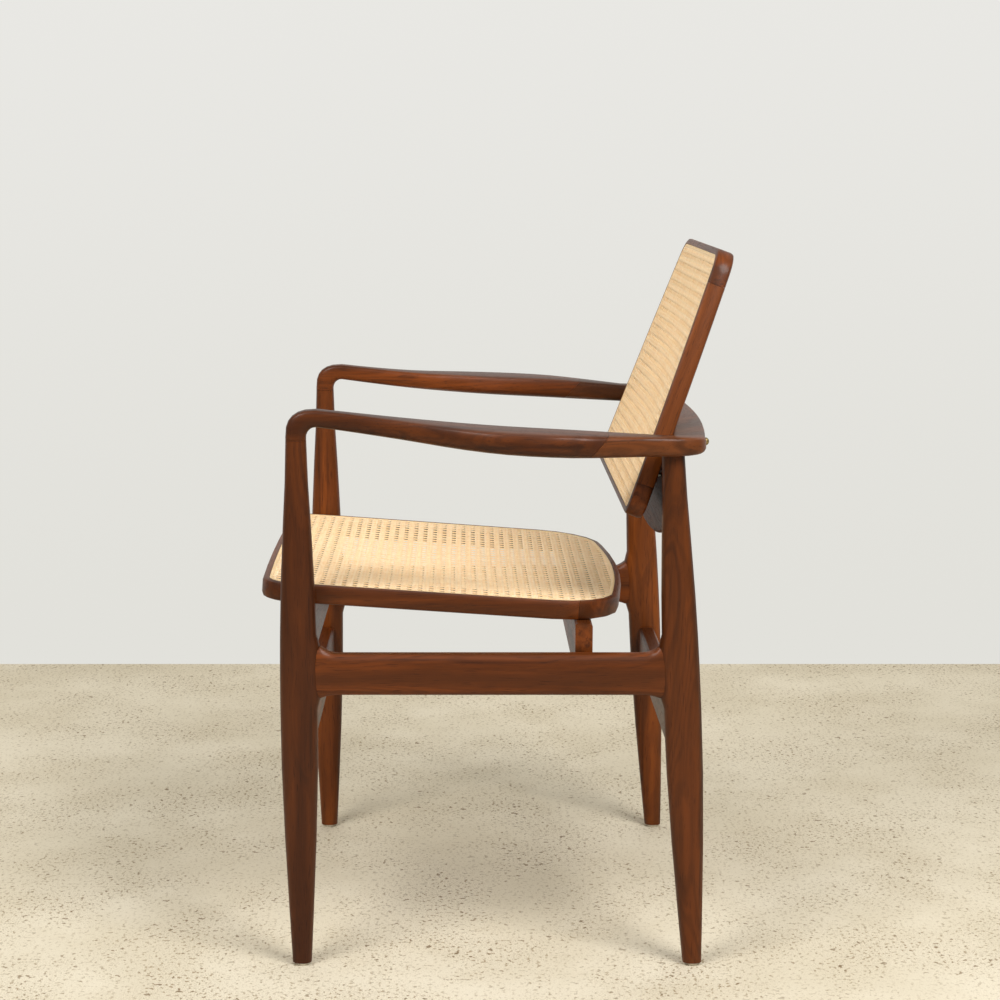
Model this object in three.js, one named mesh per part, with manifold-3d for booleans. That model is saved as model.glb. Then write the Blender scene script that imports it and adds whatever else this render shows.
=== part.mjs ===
// Caned open armchair in solid wood, in millimetres.
// Z is up, the front of the chair faces -Y and the sitter's left is +X.
// Every frame is made of separate rails that meet at shoulders and tenons.

import * as THREE from 'three';
import { mergeVertices } from 'three/addons/utils/BufferGeometryUtils.js';
import Module from 'manifold-3d';

const wasm = await Module();
wasm.setup();

// Fits
const jointGap = 0.3;
const overrun = 60;
const farReach = 1200;

// Legs: places
const legHalfSpread = 258;
const frontLegY = -228.8;
const rearLegFootY = 228.7;
const rearLegLeanShare = 0.0522;

// Legs: sizes
const frontLegTop = 620;
const rearLegTop = 603.2;
const legWidest = 43.6;
const legThickest = 32;
const legFootWidth = 22.5;
const legFootThickness = 21;
const frontLegTopWidth = 23.6;
const rearLegTopWidth = 26;
const legTopTenonWidth = 12;
const frontLegTenonLength = 20;
const rearLegTenonLength = 12;
const legShoulderSwell = 3.4;
const legShoulderFade = 13;

// Foot glides
const glideDiameter = 19;
const glideHeight = 3.2;
const glidePinDiameter = 2.6;
const glidePinLength = 14;

// Side stretchers
const stretcherThickness = 24;
const stretcherBottom = 325;
const stretcherTop = 374;
const stretcherFlareRise = 8.5;
const stretcherFlareDrop = 4;
const stretcherFlareLength = 19;
const stretcherTenonThickness = 9;
const stretcherTenonHeight = 30;
const stretcherTenonDepth = 17;

// Boards across the chair
const boardThickness = 20;
const boardEdgeRound = 2.5;
const bearerBottom = 342;
const rearBearerSetIn = 37.4;
const crossRailBottom = 236;
const crossRailHeight = 54;
const boardTenonThickness = 9;
const boardTenonDepth = 15;
const boardTenonInset = 9;
const frontBearerTenonBottom = 384;
const frontBearerTenonTop = 418;
const rearBearerTenonTop = 368;

// Apron between the rear legs
const apronFrontY = 188.2;
const apronThickness = 18;
const apronTop = 582;
const apronEndBottom = 511;
const apronBelly = 27;
const apronEndInset = 22;

// Arms and back rail
const armFrontTop = 654.8;
const armQuarterTop = 645;
const armMiddleTop = 638.7;
const armThreeQuarterTop = 633.9;
const armRearTop = 626.6;
const armFrontBottom = 634.8;
const armQuarterBottom = 622.4;
const armMiddleBottom = 612.3;
const armThreeQuarterBottom = 606.6;
const armRearBottom = 603.5;
const armBulge = 66.8;
const armQuarterInset = 13;
const armMiddleInset = 2;
const armThreeQuarterOutset = 5.5;
const armRearInset = 2;
const armCornerInnerRadius = 11.5;
const armSpanRearY = 177;
const scarfY = 111.6;
const scarfSlopeShare = 0.9;
const railTop = 623.4;
const railCornerInnerRadius = 20;
const railRearEndY = 235.4;
const railBow = 14;

// Seat frame, in its own tilted plane
const seatFrontY = -273.4;
const seatFrontTop = 453.4;
const seatSlopeDegrees = 4;
const seatDepth = 421;
const seatLegClearance = 0.9;
const seatTaperShare = 0.014;
const seatFrontBow = 3;
const seatRearBow = 10;
const seatFrontRadius = 37;
const seatRearRadius = 84;
const seatThickness = 22;
const seatRailWidth = 44;
const seatRearRailWidth = 52;
const frameEdgeRound = 4;

// Back frame, in its own tilted plane
const backFootY = 144.5;
const backFootZ = 530.6;
const backLeanDegrees = 20.2;
const backHeight = 319.8;
const backLegClearance = 16;
const backTaper = 62.5;
const backSideBow = 5;
const backBottomRadius = 18;
const backTopRadius = 32;
const backThickness = 21.3;
const backRailWidth = 40;

// Frame joints
const frameTenonWidth = 16;
const frameTenonThickness = 7;
const frameTenonLength = 15;
const frameTenonInset = 6;

// Cane webbing and its spline
const caneMargin = 7.6;
const splineWidth = 4.4;
const splineDepth = 6;
const splineCrown = 0.6;
const caneThickness = 1.3;
const canePitch = 12.7;
const caneColumnsPerGap = 3;
const caneGapShare = 0.64;
const caneGapCornerShare = 0.3;

// Screws
const screwShank = 4.4;
const screwHead = 8.6;
const screwCountersink = 3;
const counterbore = 9.6;
const seatScrewShare = 0.58;
const seatScrewLength = 44;
const seatScrewBite = 12;
const brassHead = 9.6;
const brassDome = 4.4;
const brassScrewInset = 11;
const brassScrewZ = 612.5;
const brassScrewLength = 50;
const apronScrewInset = 26;
const apronScrewDrop = 9;
const apronScrewLength = 29;

// Facets
const ringSides = 18;
const roundSides = 12;
const arcSteps = 5;

// Shares that shape the legs: share of the height, then share of the swell
const legProfileShares = [
  [0, 0],
  [0.1, 0.29],
  [0.24, 0.67],
  [0.38, 0.94],
  [0.5, 1],
  [0.62, 0.94],
  [0.73, 0.76],
  [0.84, 0.44],
  [0.92, 0.16],
  [1, 0],
];

// Share of the arm's span, then share of the bulge of its outer edge
const armBulgeShares = [
  [0, 0],
  [0.1, 0.02],
  [0.25, 0.25],
  [0.4, 0.68],
  [0.5, 0.9],
  [0.6, 1],
  [0.74, 0.92],
  [0.87, 0.6],
  [1, 0.24],
];

// Exponents of the sections: 2 is an ellipse, larger is squarer
const legSquareness = 2.5;
const armTopSquareness = 6;
const armUnderSquareness = 3.2;
const stretcherSquareness = 3.4;
const armCornerSquareness = 2.7;
const railCornerSquareness = 3.4;

// Manifold helpers

function toSolid(geometry) {
  const bare = geometry.clone();
  bare.deleteAttribute('normal');
  bare.deleteAttribute('uv');
  const merged = mergeVertices(bare);
  const mesh = new wasm.Mesh({
    numProp: 3,
    vertProperties: new Float32Array(merged.attributes.position.array),
    triVerts: new Uint32Array(merged.index.array),
  });
  return new wasm.Manifold(mesh);
}

function toGeometry(solid) {
  const mesh = solid.getMesh();
  const geometry = new THREE.BufferGeometry();
  geometry.setAttribute('position', new THREE.BufferAttribute(mesh.vertProperties, 3));
  geometry.setIndex(new THREE.BufferAttribute(mesh.triVerts, 1));
  geometry.computeVertexNormals();
  return geometry;
}

function boxBetween(low, high) {
  const size = high.clone().sub(low);
  const geometry = new THREE.BoxGeometry(size.x, size.y, size.z);
  const middle = low.clone().add(high).multiplyScalar(1 / 2);
  geometry.translate(middle.x, middle.y, middle.z);
  return toSolid(geometry);
}

function boxAround(center, size, clearance = 0) {
  const half = size.clone().multiplyScalar(1 / 2).addScalar(clearance);
  return boxBetween(center.clone().sub(half), center.clone().add(half));
}

// A solid through a row of sections. A section has a centre, two half-axes and a squareness,
// which may differ on the side away from the second axis.
function ringOf(section) {
  const points = [];
  const { squareness, underSquareness = squareness } = section;
  for (let i = 0; i < ringSides; i += 1) {
    const angle = (2 * Math.PI * (i + 1 / 2)) / ringSides;
    const power = 2 / (Math.sin(angle) < 0 ? underSquareness : squareness);
    const across = Math.sign(Math.cos(angle)) * Math.abs(Math.cos(angle)) ** power;
    const along = Math.sign(Math.sin(angle)) * Math.abs(Math.sin(angle)) ** power;
    const point = section.center.clone();
    point.addScaledVector(section.u, across);
    point.addScaledVector(section.v, along);
    points.push(point);
  }
  return points;
}

function loft(sections) {
  const rings = sections.map(ringOf);
  const positions = [];
  for (const ring of rings) {
    for (const point of ring) {
      positions.push(point.x, point.y, point.z);
    }
  }
  const first = sections[0].center;
  const last = sections[sections.length - 1].center;
  const firstIndex = rings.length * ringSides;
  const lastIndex = firstIndex + 1;
  positions.push(first.x, first.y, first.z);
  positions.push(last.x, last.y, last.z);
  const indices = [];
  for (let i = 0; i < ringSides; i += 1) {
    const next = (i + 1) % ringSides;
    indices.push(firstIndex, next, i);
    const top = (rings.length - 1) * ringSides;
    indices.push(lastIndex, top + i, top + next);
    for (let r = 0; r + 1 < rings.length; r += 1) {
      const low = r * ringSides;
      const high = low + ringSides;
      indices.push(low + i, low + next, high + next);
      indices.push(low + i, high + next, high + i);
    }
  }
  const geometry = new THREE.BufferGeometry();
  geometry.setAttribute('position', new THREE.Float32BufferAttribute(positions, 3));
  geometry.setIndex(indices);
  const solid = toSolid(geometry);
  return solid.volume() > 0 ? solid : toSolid(flipped(geometry));
}

function flipped(geometry) {
  const index = Array.from(geometry.index.array);
  for (let i = 0; i < index.length; i += 3) {
    const keep = index[i];
    index[i] = index[i + 1];
    index[i + 1] = keep;
  }
  geometry.setIndex(index);
  return geometry;
}

function mirrored(solid) {
  return solid.mirror([1, 0, 0]);
}

// A smooth curve through a few stations, read by share
function smoothThrough(stations) {
  const curve = new THREE.SplineCurve(stations.map(([at, value]) => new THREE.Vector2(at, value)));
  const samples = curve.getPoints(stations.length * 12);
  return (at) => {
    let i = 1;
    while (i < samples.length - 1 && samples[i].x < at) {
      i += 1;
    }
    const before = samples[i - 1];
    const after = samples[i];
    const part = THREE.MathUtils.clamp((at - before.x) / (after.x - before.x), 0, 1);
    return THREE.MathUtils.lerp(before.y, after.y, part);
  };
}

// Outline with rounded corners. Each corner may bow the edge that follows it outwards.
function insetCorners(corners, inset) {
  return corners.map((corner, i) => {
    const before = corners[(i + corners.length - 1) % corners.length];
    const after = corners[(i + 1) % corners.length];
    const into = corner.point.clone().sub(before.point).normalize();
    const out = after.point.clone().sub(corner.point).normalize();
    const normalIn = new THREE.Vector2(-into.y, into.x);
    const normalOut = new THREE.Vector2(-out.y, out.x);
    const reach = inset / (1 + normalIn.dot(normalOut));
    const point = corner.point.clone().addScaledVector(normalIn.add(normalOut), reach);
    return { point, radius: Math.max(corner.radius - inset, inset / 2), bow: corner.bow };
  });
}

function roundedOutline(corners) {
  const circleShare = 0.5523;
  const ends = corners.map((corner, i) => {
    const before = corners[(i + corners.length - 1) % corners.length].point;
    const after = corners[(i + 1) % corners.length].point;
    const toBefore = before.clone().sub(corner.point).normalize();
    const toAfter = after.clone().sub(corner.point).normalize();
    const half = Math.acos(toBefore.dot(toAfter)) / 2;
    const reach = corner.radius / Math.tan(half);
    return {
      start: corner.point.clone().addScaledVector(toBefore, reach),
      end: corner.point.clone().addScaledVector(toAfter, reach),
    };
  });
  const shape = new THREE.Shape();
  shape.moveTo(ends[0].end.x, ends[0].end.y);
  for (let i = 0; i < corners.length; i += 1) {
    const next = (i + 1) % corners.length;
    const from = ends[i].end;
    const to = ends[next].start;
    const bow = corners[i].bow;
    if (bow) {
      const chord = to.clone().sub(from);
      const outward = new THREE.Vector2(chord.y, -chord.x).normalize();
      const control = from.clone().add(to).multiplyScalar(1 / 2).addScaledVector(outward, 2 * bow);
      shape.quadraticCurveTo(control.x, control.y, to.x, to.y);
    } else {
      shape.lineTo(to.x, to.y);
    }
    const tip = corners[next].point;
    const leave = ends[next].end;
    if (corners[next].radius) {
      const first = to.clone().lerp(tip, circleShare);
      const second = leave.clone().lerp(tip, circleShare);
      shape.bezierCurveTo(first.x, first.y, second.x, second.y, leave.x, leave.y);
    }
  }
  return shape;
}

// A plate of the outline, with its top at the given height
function plate(corners, inset, top, thickness, round = 0) {
  const shape = roundedOutline(insetCorners(corners, inset + round));
  const geometry = new THREE.ExtrudeGeometry(shape, {
    depth: thickness - 2 * round,
    bevelEnabled: round > 0,
    bevelSize: round,
    bevelThickness: round,
    bevelSegments: 2,
    curveSegments: arcSteps,
  });
  geometry.translate(0, 0, top - thickness + round);
  return toSolid(geometry);
}

// Legs

function legAxisY(leg, z) {
  return leg.footY - leg.lean * z;
}

function legSwell(leg, z) {
  const share = (z - glideHeight) / (leg.top - glideHeight);
  return smoothThrough(legProfileShares)(THREE.MathUtils.clamp(share, 0, 1));
}

// The leg swells a little towards the stretcher where the two are shaped together
function shoulderAt(z) {
  const low = stretcherBottom - stretcherFlareDrop;
  const high = stretcherTop + stretcherFlareRise;
  const away = Math.max(low - z, z - high, 0);
  const fade = THREE.MathUtils.clamp(1 - away / legShoulderFade, 0, 1);
  return legShoulderSwell * fade * fade * (3 - 2 * fade);
}

function legSection(leg, z, grow) {
  const share = (z - glideHeight) / (leg.top - glideHeight);
  const swell = legSwell(leg, z);
  const restWidth = THREE.MathUtils.lerp(legFootWidth, leg.topWidth, share);
  const restThickness = THREE.MathUtils.lerp(legFootThickness, leg.topWidth, share);
  const width = THREE.MathUtils.lerp(restWidth, legWidest, swell);
  const thickness = THREE.MathUtils.lerp(restThickness, legThickest, swell);
  const bump = shoulderAt(z) / 2;
  const center = new THREE.Vector3(legHalfSpread, legAxisY(leg, z) + leg.inward * bump, z);
  return {
    center,
    u: new THREE.Vector3(thickness / 2 + grow, 0, 0),
    v: new THREE.Vector3(0, width / 2 + bump + grow, 0),
    squareness: legSquareness,
  };
}

function legHeights(leg) {
  const heights = legProfileShares.map(([at]) => THREE.MathUtils.lerp(glideHeight, leg.top, at));
  const low = stretcherBottom - stretcherFlareDrop;
  const high = stretcherTop + stretcherFlareRise;
  const near = heights.filter((z) => z < low - 2 * legShoulderFade || z > high + 2 * legShoulderFade);
  const shaped = [
    low - legShoulderFade,
    low - legShoulderFade / 2,
    low,
    (low + high) / 2,
    high,
    high + legShoulderFade / 2,
    high + legShoulderFade,
  ];
  return [...near, ...shaped].sort((a, b) => a - b);
}

function legBody(leg, grow = 0) {
  return loft(legHeights(leg).map((z) => legSection(leg, z, grow)));
}

const frontLeg = {
  footY: frontLegY,
  lean: 0,
  top: frontLegTop,
  topWidth: frontLegTopWidth,
  tenonLength: frontLegTenonLength,
  inward: 1,
};
const rearLeg = {
  footY: rearLegFootY,
  lean: rearLegLeanShare,
  top: rearLegTop,
  topWidth: rearLegTopWidth,
  tenonLength: rearLegTenonLength,
  inward: -1,
};

function legTenon(leg, clearance = 0) {
  const middle = new THREE.Vector3(legHalfSpread, legAxisY(leg, leg.top), leg.top);
  const size = new THREE.Vector3(legTopTenonWidth, legTopTenonWidth, 2 * leg.tenonLength);
  return boxAround(middle, size, clearance);
}

// Foot glides: a disc with a pin that is driven into the leg
function glideAt(leg, clearance = 0) {
  const radius = glidePinDiameter / 2 + clearance;
  const pin = glidePinLength + glideHeight + clearance;
  const profile = [
    new THREE.Vector2(0, 0),
    new THREE.Vector2((glideDiameter - glideHeight) / 2, 0),
    new THREE.Vector2(glideDiameter / 2, glideHeight / 2),
    new THREE.Vector2(glideDiameter / 2, glideHeight - jointGap),
    new THREE.Vector2(radius, glideHeight - jointGap),
    new THREE.Vector2(radius, pin),
    new THREE.Vector2(0, pin),
  ];
  const geometry = new THREE.LatheGeometry(profile, roundSides);
  geometry.rotateX(Math.PI / 2);
  geometry.translate(legHalfSpread, legAxisY(leg, 0), 0);
  return toSolid(geometry);
}

// Side stretcher, with both ends flared and scribed to the legs

function stretcherSection(y, startY, endY) {
  const fromEnd = Math.min(y - startY, endY - y);
  const part = THREE.MathUtils.clamp(1 - fromEnd / stretcherFlareLength, 0, 1);
  const flare = part * part;
  const top = stretcherTop + stretcherFlareRise * flare;
  const bottom = stretcherBottom - stretcherFlareDrop * flare;
  return {
    center: new THREE.Vector3(legHalfSpread, y, (top + bottom) / 2),
    u: new THREE.Vector3(stretcherThickness / 2, 0, 0),
    v: new THREE.Vector3(0, 0, (top - bottom) / 2),
    squareness: stretcherSquareness,
  };
}

const stretcherMiddleZ = (stretcherBottom + stretcherTop) / 2;
const legReachY = legWidest / 2 + legShoulderSwell;
const stretcherStartY = legAxisY(frontLeg, stretcherMiddleZ) + legReachY;
const stretcherEndY = legAxisY(rearLeg, stretcherMiddleZ) - legReachY;

function stretcherTenon(leg, clearance = 0) {
  const shoulder = legAxisY(leg, stretcherMiddleZ) + leg.inward * legReachY;
  const center = new THREE.Vector3(legHalfSpread, shoulder, stretcherMiddleZ);
  const length = 2 * (stretcherTenonDepth + legShoulderSwell);
  const size = new THREE.Vector3(stretcherTenonThickness, length, stretcherTenonHeight);
  return boxAround(center, size, clearance);
}

function stretcherBody() {
  const inside = legWidest / 4;
  const from = stretcherStartY - inside;
  const to = stretcherEndY + inside;
  const places = [from, stretcherStartY];
  for (let i = 1; i <= arcSteps; i += 1) {
    places.push(stretcherStartY + (stretcherFlareLength * i) / arcSteps);
  }
  for (let i = arcSteps; i >= 1; i -= 1) {
    places.push(stretcherEndY - (stretcherFlareLength * i) / arcSteps);
  }
  places.push(stretcherEndY, to);
  let body = loft(places.map((y) => stretcherSection(y, stretcherStartY, stretcherEndY)));
  body = body.subtract(legBody(frontLeg, jointGap));
  body = body.subtract(legBody(rearLeg, jointGap));
  body = body.add(stretcherTenon(frontLeg));
  return body.add(stretcherTenon(rearLeg));
}

// Boards across the chair: a side profile in Y and Z, run along X

function boardAcross(profile, halfLength) {
  const shape = new THREE.Shape(profile);
  const geometry = new THREE.ExtrudeGeometry(shape, { depth: 2 * halfLength, bevelEnabled: false });
  // The profile's first axis becomes Y, its second becomes Z and the run becomes X
  const turn = new THREE.Matrix4().makeBasis(
    new THREE.Vector3(0, 1, 0),
    new THREE.Vector3(0, 0, 1),
    new THREE.Vector3(1, 0, 0),
  );
  geometry.applyMatrix4(turn);
  geometry.translate(-halfLength, 0, 0);
  return toSolid(geometry);
}

// Rectangle with clipped corners, so that the board's long edges are eased
function easedProfile(frontY, backY, bottomZ, frontTopZ, backTopZ) {
  const ease = boardEdgeRound;
  return [
    new THREE.Vector2(frontY + ease, bottomZ),
    new THREE.Vector2(backY - ease, bottomZ),
    new THREE.Vector2(backY, bottomZ + ease),
    new THREE.Vector2(backY, backTopZ - ease),
    new THREE.Vector2(backY - ease, backTopZ),
    new THREE.Vector2(frontY + ease, frontTopZ),
    new THREE.Vector2(frontY, frontTopZ - ease),
    new THREE.Vector2(frontY, bottomZ + ease),
  ];
}

const seatSlope = THREE.MathUtils.degToRad(seatSlopeDegrees);
const backLean = THREE.MathUtils.degToRad(backLeanDegrees);

const seatRearY = seatFrontY + seatDepth * Math.cos(seatSlope);
const rearBearerBackY = seatRearY - rearBearerSetIn;
const rearBearerFrontY = rearBearerBackY - boardThickness;

function seatUndersideZ(y) {
  const top = seatFrontTop - Math.tan(seatSlope) * (y - seatFrontY);
  return top - seatThickness / Math.cos(seatSlope) - jointGap;
}

function boardTenon(center, tenonBottom, tenonTop, clearance = 0) {
  const middle = new THREE.Vector3(center.x, center.y, (tenonBottom + tenonTop) / 2);
  const size = new THREE.Vector3(2 * boardTenonDepth, boardTenonThickness, tenonTop - tenonBottom);
  return boxAround(middle, size, clearance);
}

// The tenon's middle lies on the leg's inner face
function legTenonSeat(leg, z) {
  const section = legSection(leg, z, 0);
  return new THREE.Vector3(legHalfSpread - section.u.x, legAxisY(leg, z), z);
}

const crossRailTop = crossRailBottom + crossRailHeight;
const crossRailTenon = [crossRailBottom + boardTenonInset, crossRailTop - boardTenonInset];
const crossRailMiddle = (crossRailBottom + crossRailTop) / 2;
const apronTenon = [apronEndBottom + boardTenonInset, apronTop - boardTenonInset];
const apronMiddleY = apronFrontY + apronThickness / 2;
const frontBearerTenon = [frontBearerTenonBottom, frontBearerTenonTop];
const rearBearerTenon = [bearerBottom + boardTenonInset, rearBearerTenonTop];
const rearBearerMiddleY = (rearBearerFrontY + rearBearerBackY) / 2;
const rearBearerEndX = legHalfSpread - stretcherThickness / 2 - jointGap;

const tenonSeats = {
  frontCross: legTenonSeat(frontLeg, crossRailMiddle),
  rearCross: legTenonSeat(rearLeg, crossRailMiddle),
  frontBearer: legTenonSeat(frontLeg, frontBearerTenonBottom),
  rearBearer: new THREE.Vector3(rearBearerEndX, rearBearerMiddleY, 0),
  apron: legTenonSeat(rearLeg, apronEndBottom).setY(apronMiddleY),
};

function withTenons(body, seat, [bottom, top]) {
  const tenon = boardTenon(seat, bottom, top);
  return body.add(tenon).add(mirrored(tenon));
}

function scribedToLegs(body, leg) {
  const post = legBody(leg, jointGap);
  return body.subtract(post).subtract(mirrored(post));
}

function crossRail(leg, seat) {
  const y = legAxisY(leg, crossRailMiddle);
  const half = boardThickness / 2;
  const profile = easedProfile(y - half, y + half, crossRailBottom, crossRailTop, crossRailTop);
  const body = scribedToLegs(boardAcross(profile, legHalfSpread), leg);
  return withTenons(body, seat, crossRailTenon);
}

function frontBearer() {
  const y = frontLegY;
  const half = boardThickness / 2;
  const profile = easedProfile(
    y - half,
    y + half,
    bearerBottom,
    seatUndersideZ(y - half),
    seatUndersideZ(y + half),
  );
  const body = boardAcross(profile, legHalfSpread);
  return withTenons(scribedToLegs(body, frontLeg), tenonSeats.frontBearer, frontBearerTenon);
}

function rearBearer() {
  const profile = easedProfile(
    rearBearerFrontY,
    rearBearerBackY,
    bearerBottom,
    seatUndersideZ(rearBearerFrontY),
    seatUndersideZ(rearBearerBackY),
  );
  const body = boardAcross(profile, rearBearerEndX);
  return withTenons(body, tenonSeats.rearBearer, rearBearerTenon);
}

function apron() {
  const shape = new THREE.Shape();
  const half = legHalfSpread;
  const apronEndX = legHalfSpread - apronEndInset;
  shape.moveTo(-half, apronTop);
  shape.lineTo(-half, apronEndBottom);
  shape.lineTo(-apronEndX, apronEndBottom);
  shape.quadraticCurveTo(0, apronEndBottom - 2 * apronBelly, apronEndX, apronEndBottom);
  shape.lineTo(half, apronEndBottom);
  shape.lineTo(half, apronTop);
  const ease = boardEdgeRound;
  const geometry = new THREE.ExtrudeGeometry(shape, {
    depth: apronThickness - 2 * ease,
    bevelEnabled: true,
    bevelSize: ease,
    bevelThickness: ease,
    bevelOffset: -ease,
    bevelSegments: 1,
    curveSegments: 3 * arcSteps,
  });
  geometry.rotateX(Math.PI / 2);
  geometry.translate(0, apronFrontY + apronThickness - ease, 0);
  const body = scribedToLegs(toSolid(geometry), rearLeg);
  return withTenons(body, tenonSeats.apron, apronTenon);
}

// Arms: stations by share of the span from the front corner to the rear corner

const armFrontHalf = frontLegTopWidth / 2;
const armOuterFrontX = legHalfSpread + armFrontHalf;
const armInnerFrontX = legHalfSpread - armFrontHalf;
const armInnerRearX = legHalfSpread - armRearInset;
const armSpanFrontY = frontLegY + armCornerInnerRadius + armFrontHalf;

const armTopAt = smoothThrough([
  [0, armFrontTop],
  [0.25, armQuarterTop],
  [0.5, armMiddleTop],
  [0.75, armThreeQuarterTop],
  [1, armRearTop],
]);
const armBottomAt = smoothThrough([
  [0, armFrontBottom],
  [0.25, armQuarterBottom],
  [0.5, armMiddleBottom],
  [0.75, armThreeQuarterBottom],
  [1, armRearBottom],
]);
const armBulgeAt = smoothThrough(armBulgeShares);
const armInnerAt = smoothThrough([
  [0, armInnerFrontX],
  [0.25, legHalfSpread - armQuarterInset],
  [0.5, legHalfSpread - armMiddleInset],
  [0.75, legHalfSpread + armThreeQuarterOutset],
  [1, armInnerRearX],
]);

function armSection(share) {
  const y = THREE.MathUtils.lerp(armSpanFrontY, armSpanRearY, share);
  const top = armTopAt(share);
  const bottom = armBottomAt(share);
  const outer = armOuterFrontX + armBulge * armBulgeAt(share);
  const inner = armInnerAt(share);
  return {
    center: new THREE.Vector3((outer + inner) / 2, y, (top + bottom) / 2),
    u: new THREE.Vector3((outer - inner) / 2, 0, 0),
    v: new THREE.Vector3(0, 0, (top - bottom) / 2),
    squareness: armTopSquareness,
    underSquareness: armUnderSquareness,
  };
}

// The front corner turns about a pivot from the top of the leg to the underside of the arm
function armCornerSection(turn) {
  const angle = turn * (Math.PI / 2);
  const pivot = new THREE.Vector3(0, armSpanFrontY, armFrontBottom - armCornerInnerRadius);
  const forward = Math.cos(angle);
  const upward = Math.sin(angle);
  const power = 2 / armCornerSquareness;
  const reach = armCornerInnerRadius + frontLegTopWidth;
  const rise = armFrontTop - pivot.z;
  const outer = new THREE.Vector3(
    0,
    pivot.y - reach * forward ** power,
    pivot.z + rise * upward ** power,
  );
  const inner = new THREE.Vector3(
    0,
    pivot.y - armCornerInnerRadius * forward,
    pivot.z + armCornerInnerRadius * upward,
  );
  const center = outer.clone().add(inner).multiplyScalar(1 / 2);
  center.x = legHalfSpread;
  return {
    center,
    u: new THREE.Vector3(armFrontHalf, 0, 0),
    v: outer.clone().sub(inner).multiplyScalar(1 / 2).setX(0),
    squareness: THREE.MathUtils.lerp(legSquareness, armTopSquareness, turn),
    underSquareness: THREE.MathUtils.lerp(legSquareness, armUnderSquareness, turn),
  };
}

// The scarf runs down and forward across the arm
function behindScarf(clearance) {
  const geometry = new THREE.BoxGeometry(farReach, farReach, farReach);
  geometry.translate(0, farReach / 2 + clearance, 0);
  geometry.rotateX(-Math.atan(scarfSlopeShare));
  const middleZ = (armThreeQuarterTop + armThreeQuarterBottom) / 2;
  geometry.translate(0, scarfY, middleZ);
  return toSolid(geometry);
}

function armBody() {
  const sections = [];
  const low = armCornerSection(0);
  low.center.z = frontLegTop + jointGap;
  sections.push(low);
  const cornerSteps = arcSteps + 1;
  for (let i = 0; i < cornerSteps; i += 1) {
    sections.push(armCornerSection(i / cornerSteps));
  }
  const steps = 16;
  for (let i = 0; i <= steps; i += 1) {
    sections.push(armSection(i / steps));
  }
  const body = loft(sections).subtract(behindScarf(-jointGap / 2));
  return body.subtract(legTenon(frontLeg, jointGap));
}

// Back rail: the two returns behind the scarfs and the bowed rail between them

function railCornerSection(turn) {
  const angle = turn * (Math.PI / 2);
  const start = armSection(1);
  const pivot = new THREE.Vector3(armInnerRearX - railCornerInnerRadius, armSpanRearY, 0);
  const outward = Math.cos(angle);
  const rearward = Math.sin(angle);
  const power = 2 / railCornerSquareness;
  const top = THREE.MathUtils.lerp(armRearTop, railTop, turn);
  const outer = new THREE.Vector3(
    pivot.x + (start.center.x + start.u.x - pivot.x) * outward ** power,
    pivot.y + (railRearEndY - pivot.y) * rearward ** power,
    0,
  );
  const inner = new THREE.Vector3(
    pivot.x + railCornerInnerRadius * outward,
    pivot.y + railCornerInnerRadius * rearward,
    0,
  );
  const center = outer.clone().add(inner).multiplyScalar(1 / 2);
  center.z = (top + armRearBottom) / 2;
  return {
    center,
    u: outer.clone().sub(inner).multiplyScalar(1 / 2),
    v: new THREE.Vector3(0, 0, (top - armRearBottom) / 2),
    squareness: armTopSquareness,
    underSquareness: armUnderSquareness,
  };
}

const railEndX = armInnerRearX - railCornerInnerRadius;

function railSection(x) {
  const bow = railBow * (1 - (x / railEndX) ** 2);
  const rear = railRearEndY + bow;
  const front = armSpanRearY + railCornerInnerRadius + bow;
  return {
    center: new THREE.Vector3(x, (front + rear) / 2, (railTop + armRearBottom) / 2),
    u: new THREE.Vector3(0, (rear - front) / 2, 0),
    v: new THREE.Vector3(0, 0, (railTop - armRearBottom) / 2),
    squareness: armTopSquareness,
    underSquareness: armUnderSquareness,
  };
}

function mirroredSection(section) {
  return {
    center: section.center.clone().setX(-section.center.x),
    u: section.u.clone().setX(-section.u.x),
    v: section.v.clone(),
    squareness: section.squareness,
    underSquareness: section.underSquareness,
  };
}

function railBody() {
  const half = [];
  const steps = 16;
  for (let i = 11; i < steps; i += 1) {
    half.push(armSection(i / steps));
  }
  const cornerSteps = arcSteps + 2;
  for (let i = 0; i < cornerSteps; i += 1) {
    half.push(railCornerSection(i / cornerSteps));
  }
  const across = 6;
  for (let i = across; i > 0; i -= 1) {
    half.push(railSection((railEndX * i) / across));
  }
  const otherHalf = half.map(mirroredSection).reverse();
  const body = loft([...half, railSection(0), ...otherHalf]);
  return body.intersect(behindScarf(jointGap / 2));
}

// Frames: rails cut from one ring, with tenons at the ends of the rails that run up and down

function caneFrame(corners, opening, thickness) {
  const ring = plate(corners, 0, 0, thickness, frameEdgeRound);
  const window = plate(opening, 0, overrun, 2 * overrun);
  const rebate = plate(corners, caneMargin, overrun, overrun + caneThickness + jointGap);
  const grooveOuter = plate(corners, caneMargin, 0, splineDepth + jointGap);
  const grooveInner = plate(corners, caneMargin + splineWidth + 2 * jointGap, overrun, 2 * overrun);
  return ring.subtract(window).subtract(rebate).subtract(grooveOuter.subtract(grooveInner));
}

// The opening inside the rails has square corners
function openingCorners(halfWidthAt, railWidth, lowY, highY, bow) {
  const low = halfWidthAt(lowY) - railWidth;
  const high = halfWidthAt(highY) - railWidth;
  return [
    { point: new THREE.Vector2(-low, lowY), radius: 0, bow: 0 },
    { point: new THREE.Vector2(low, lowY), radius: 0, bow },
    { point: new THREE.Vector2(high, highY), radius: 0, bow: 0 },
    { point: new THREE.Vector2(-high, highY), radius: 0, bow },
  ];
}

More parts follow.
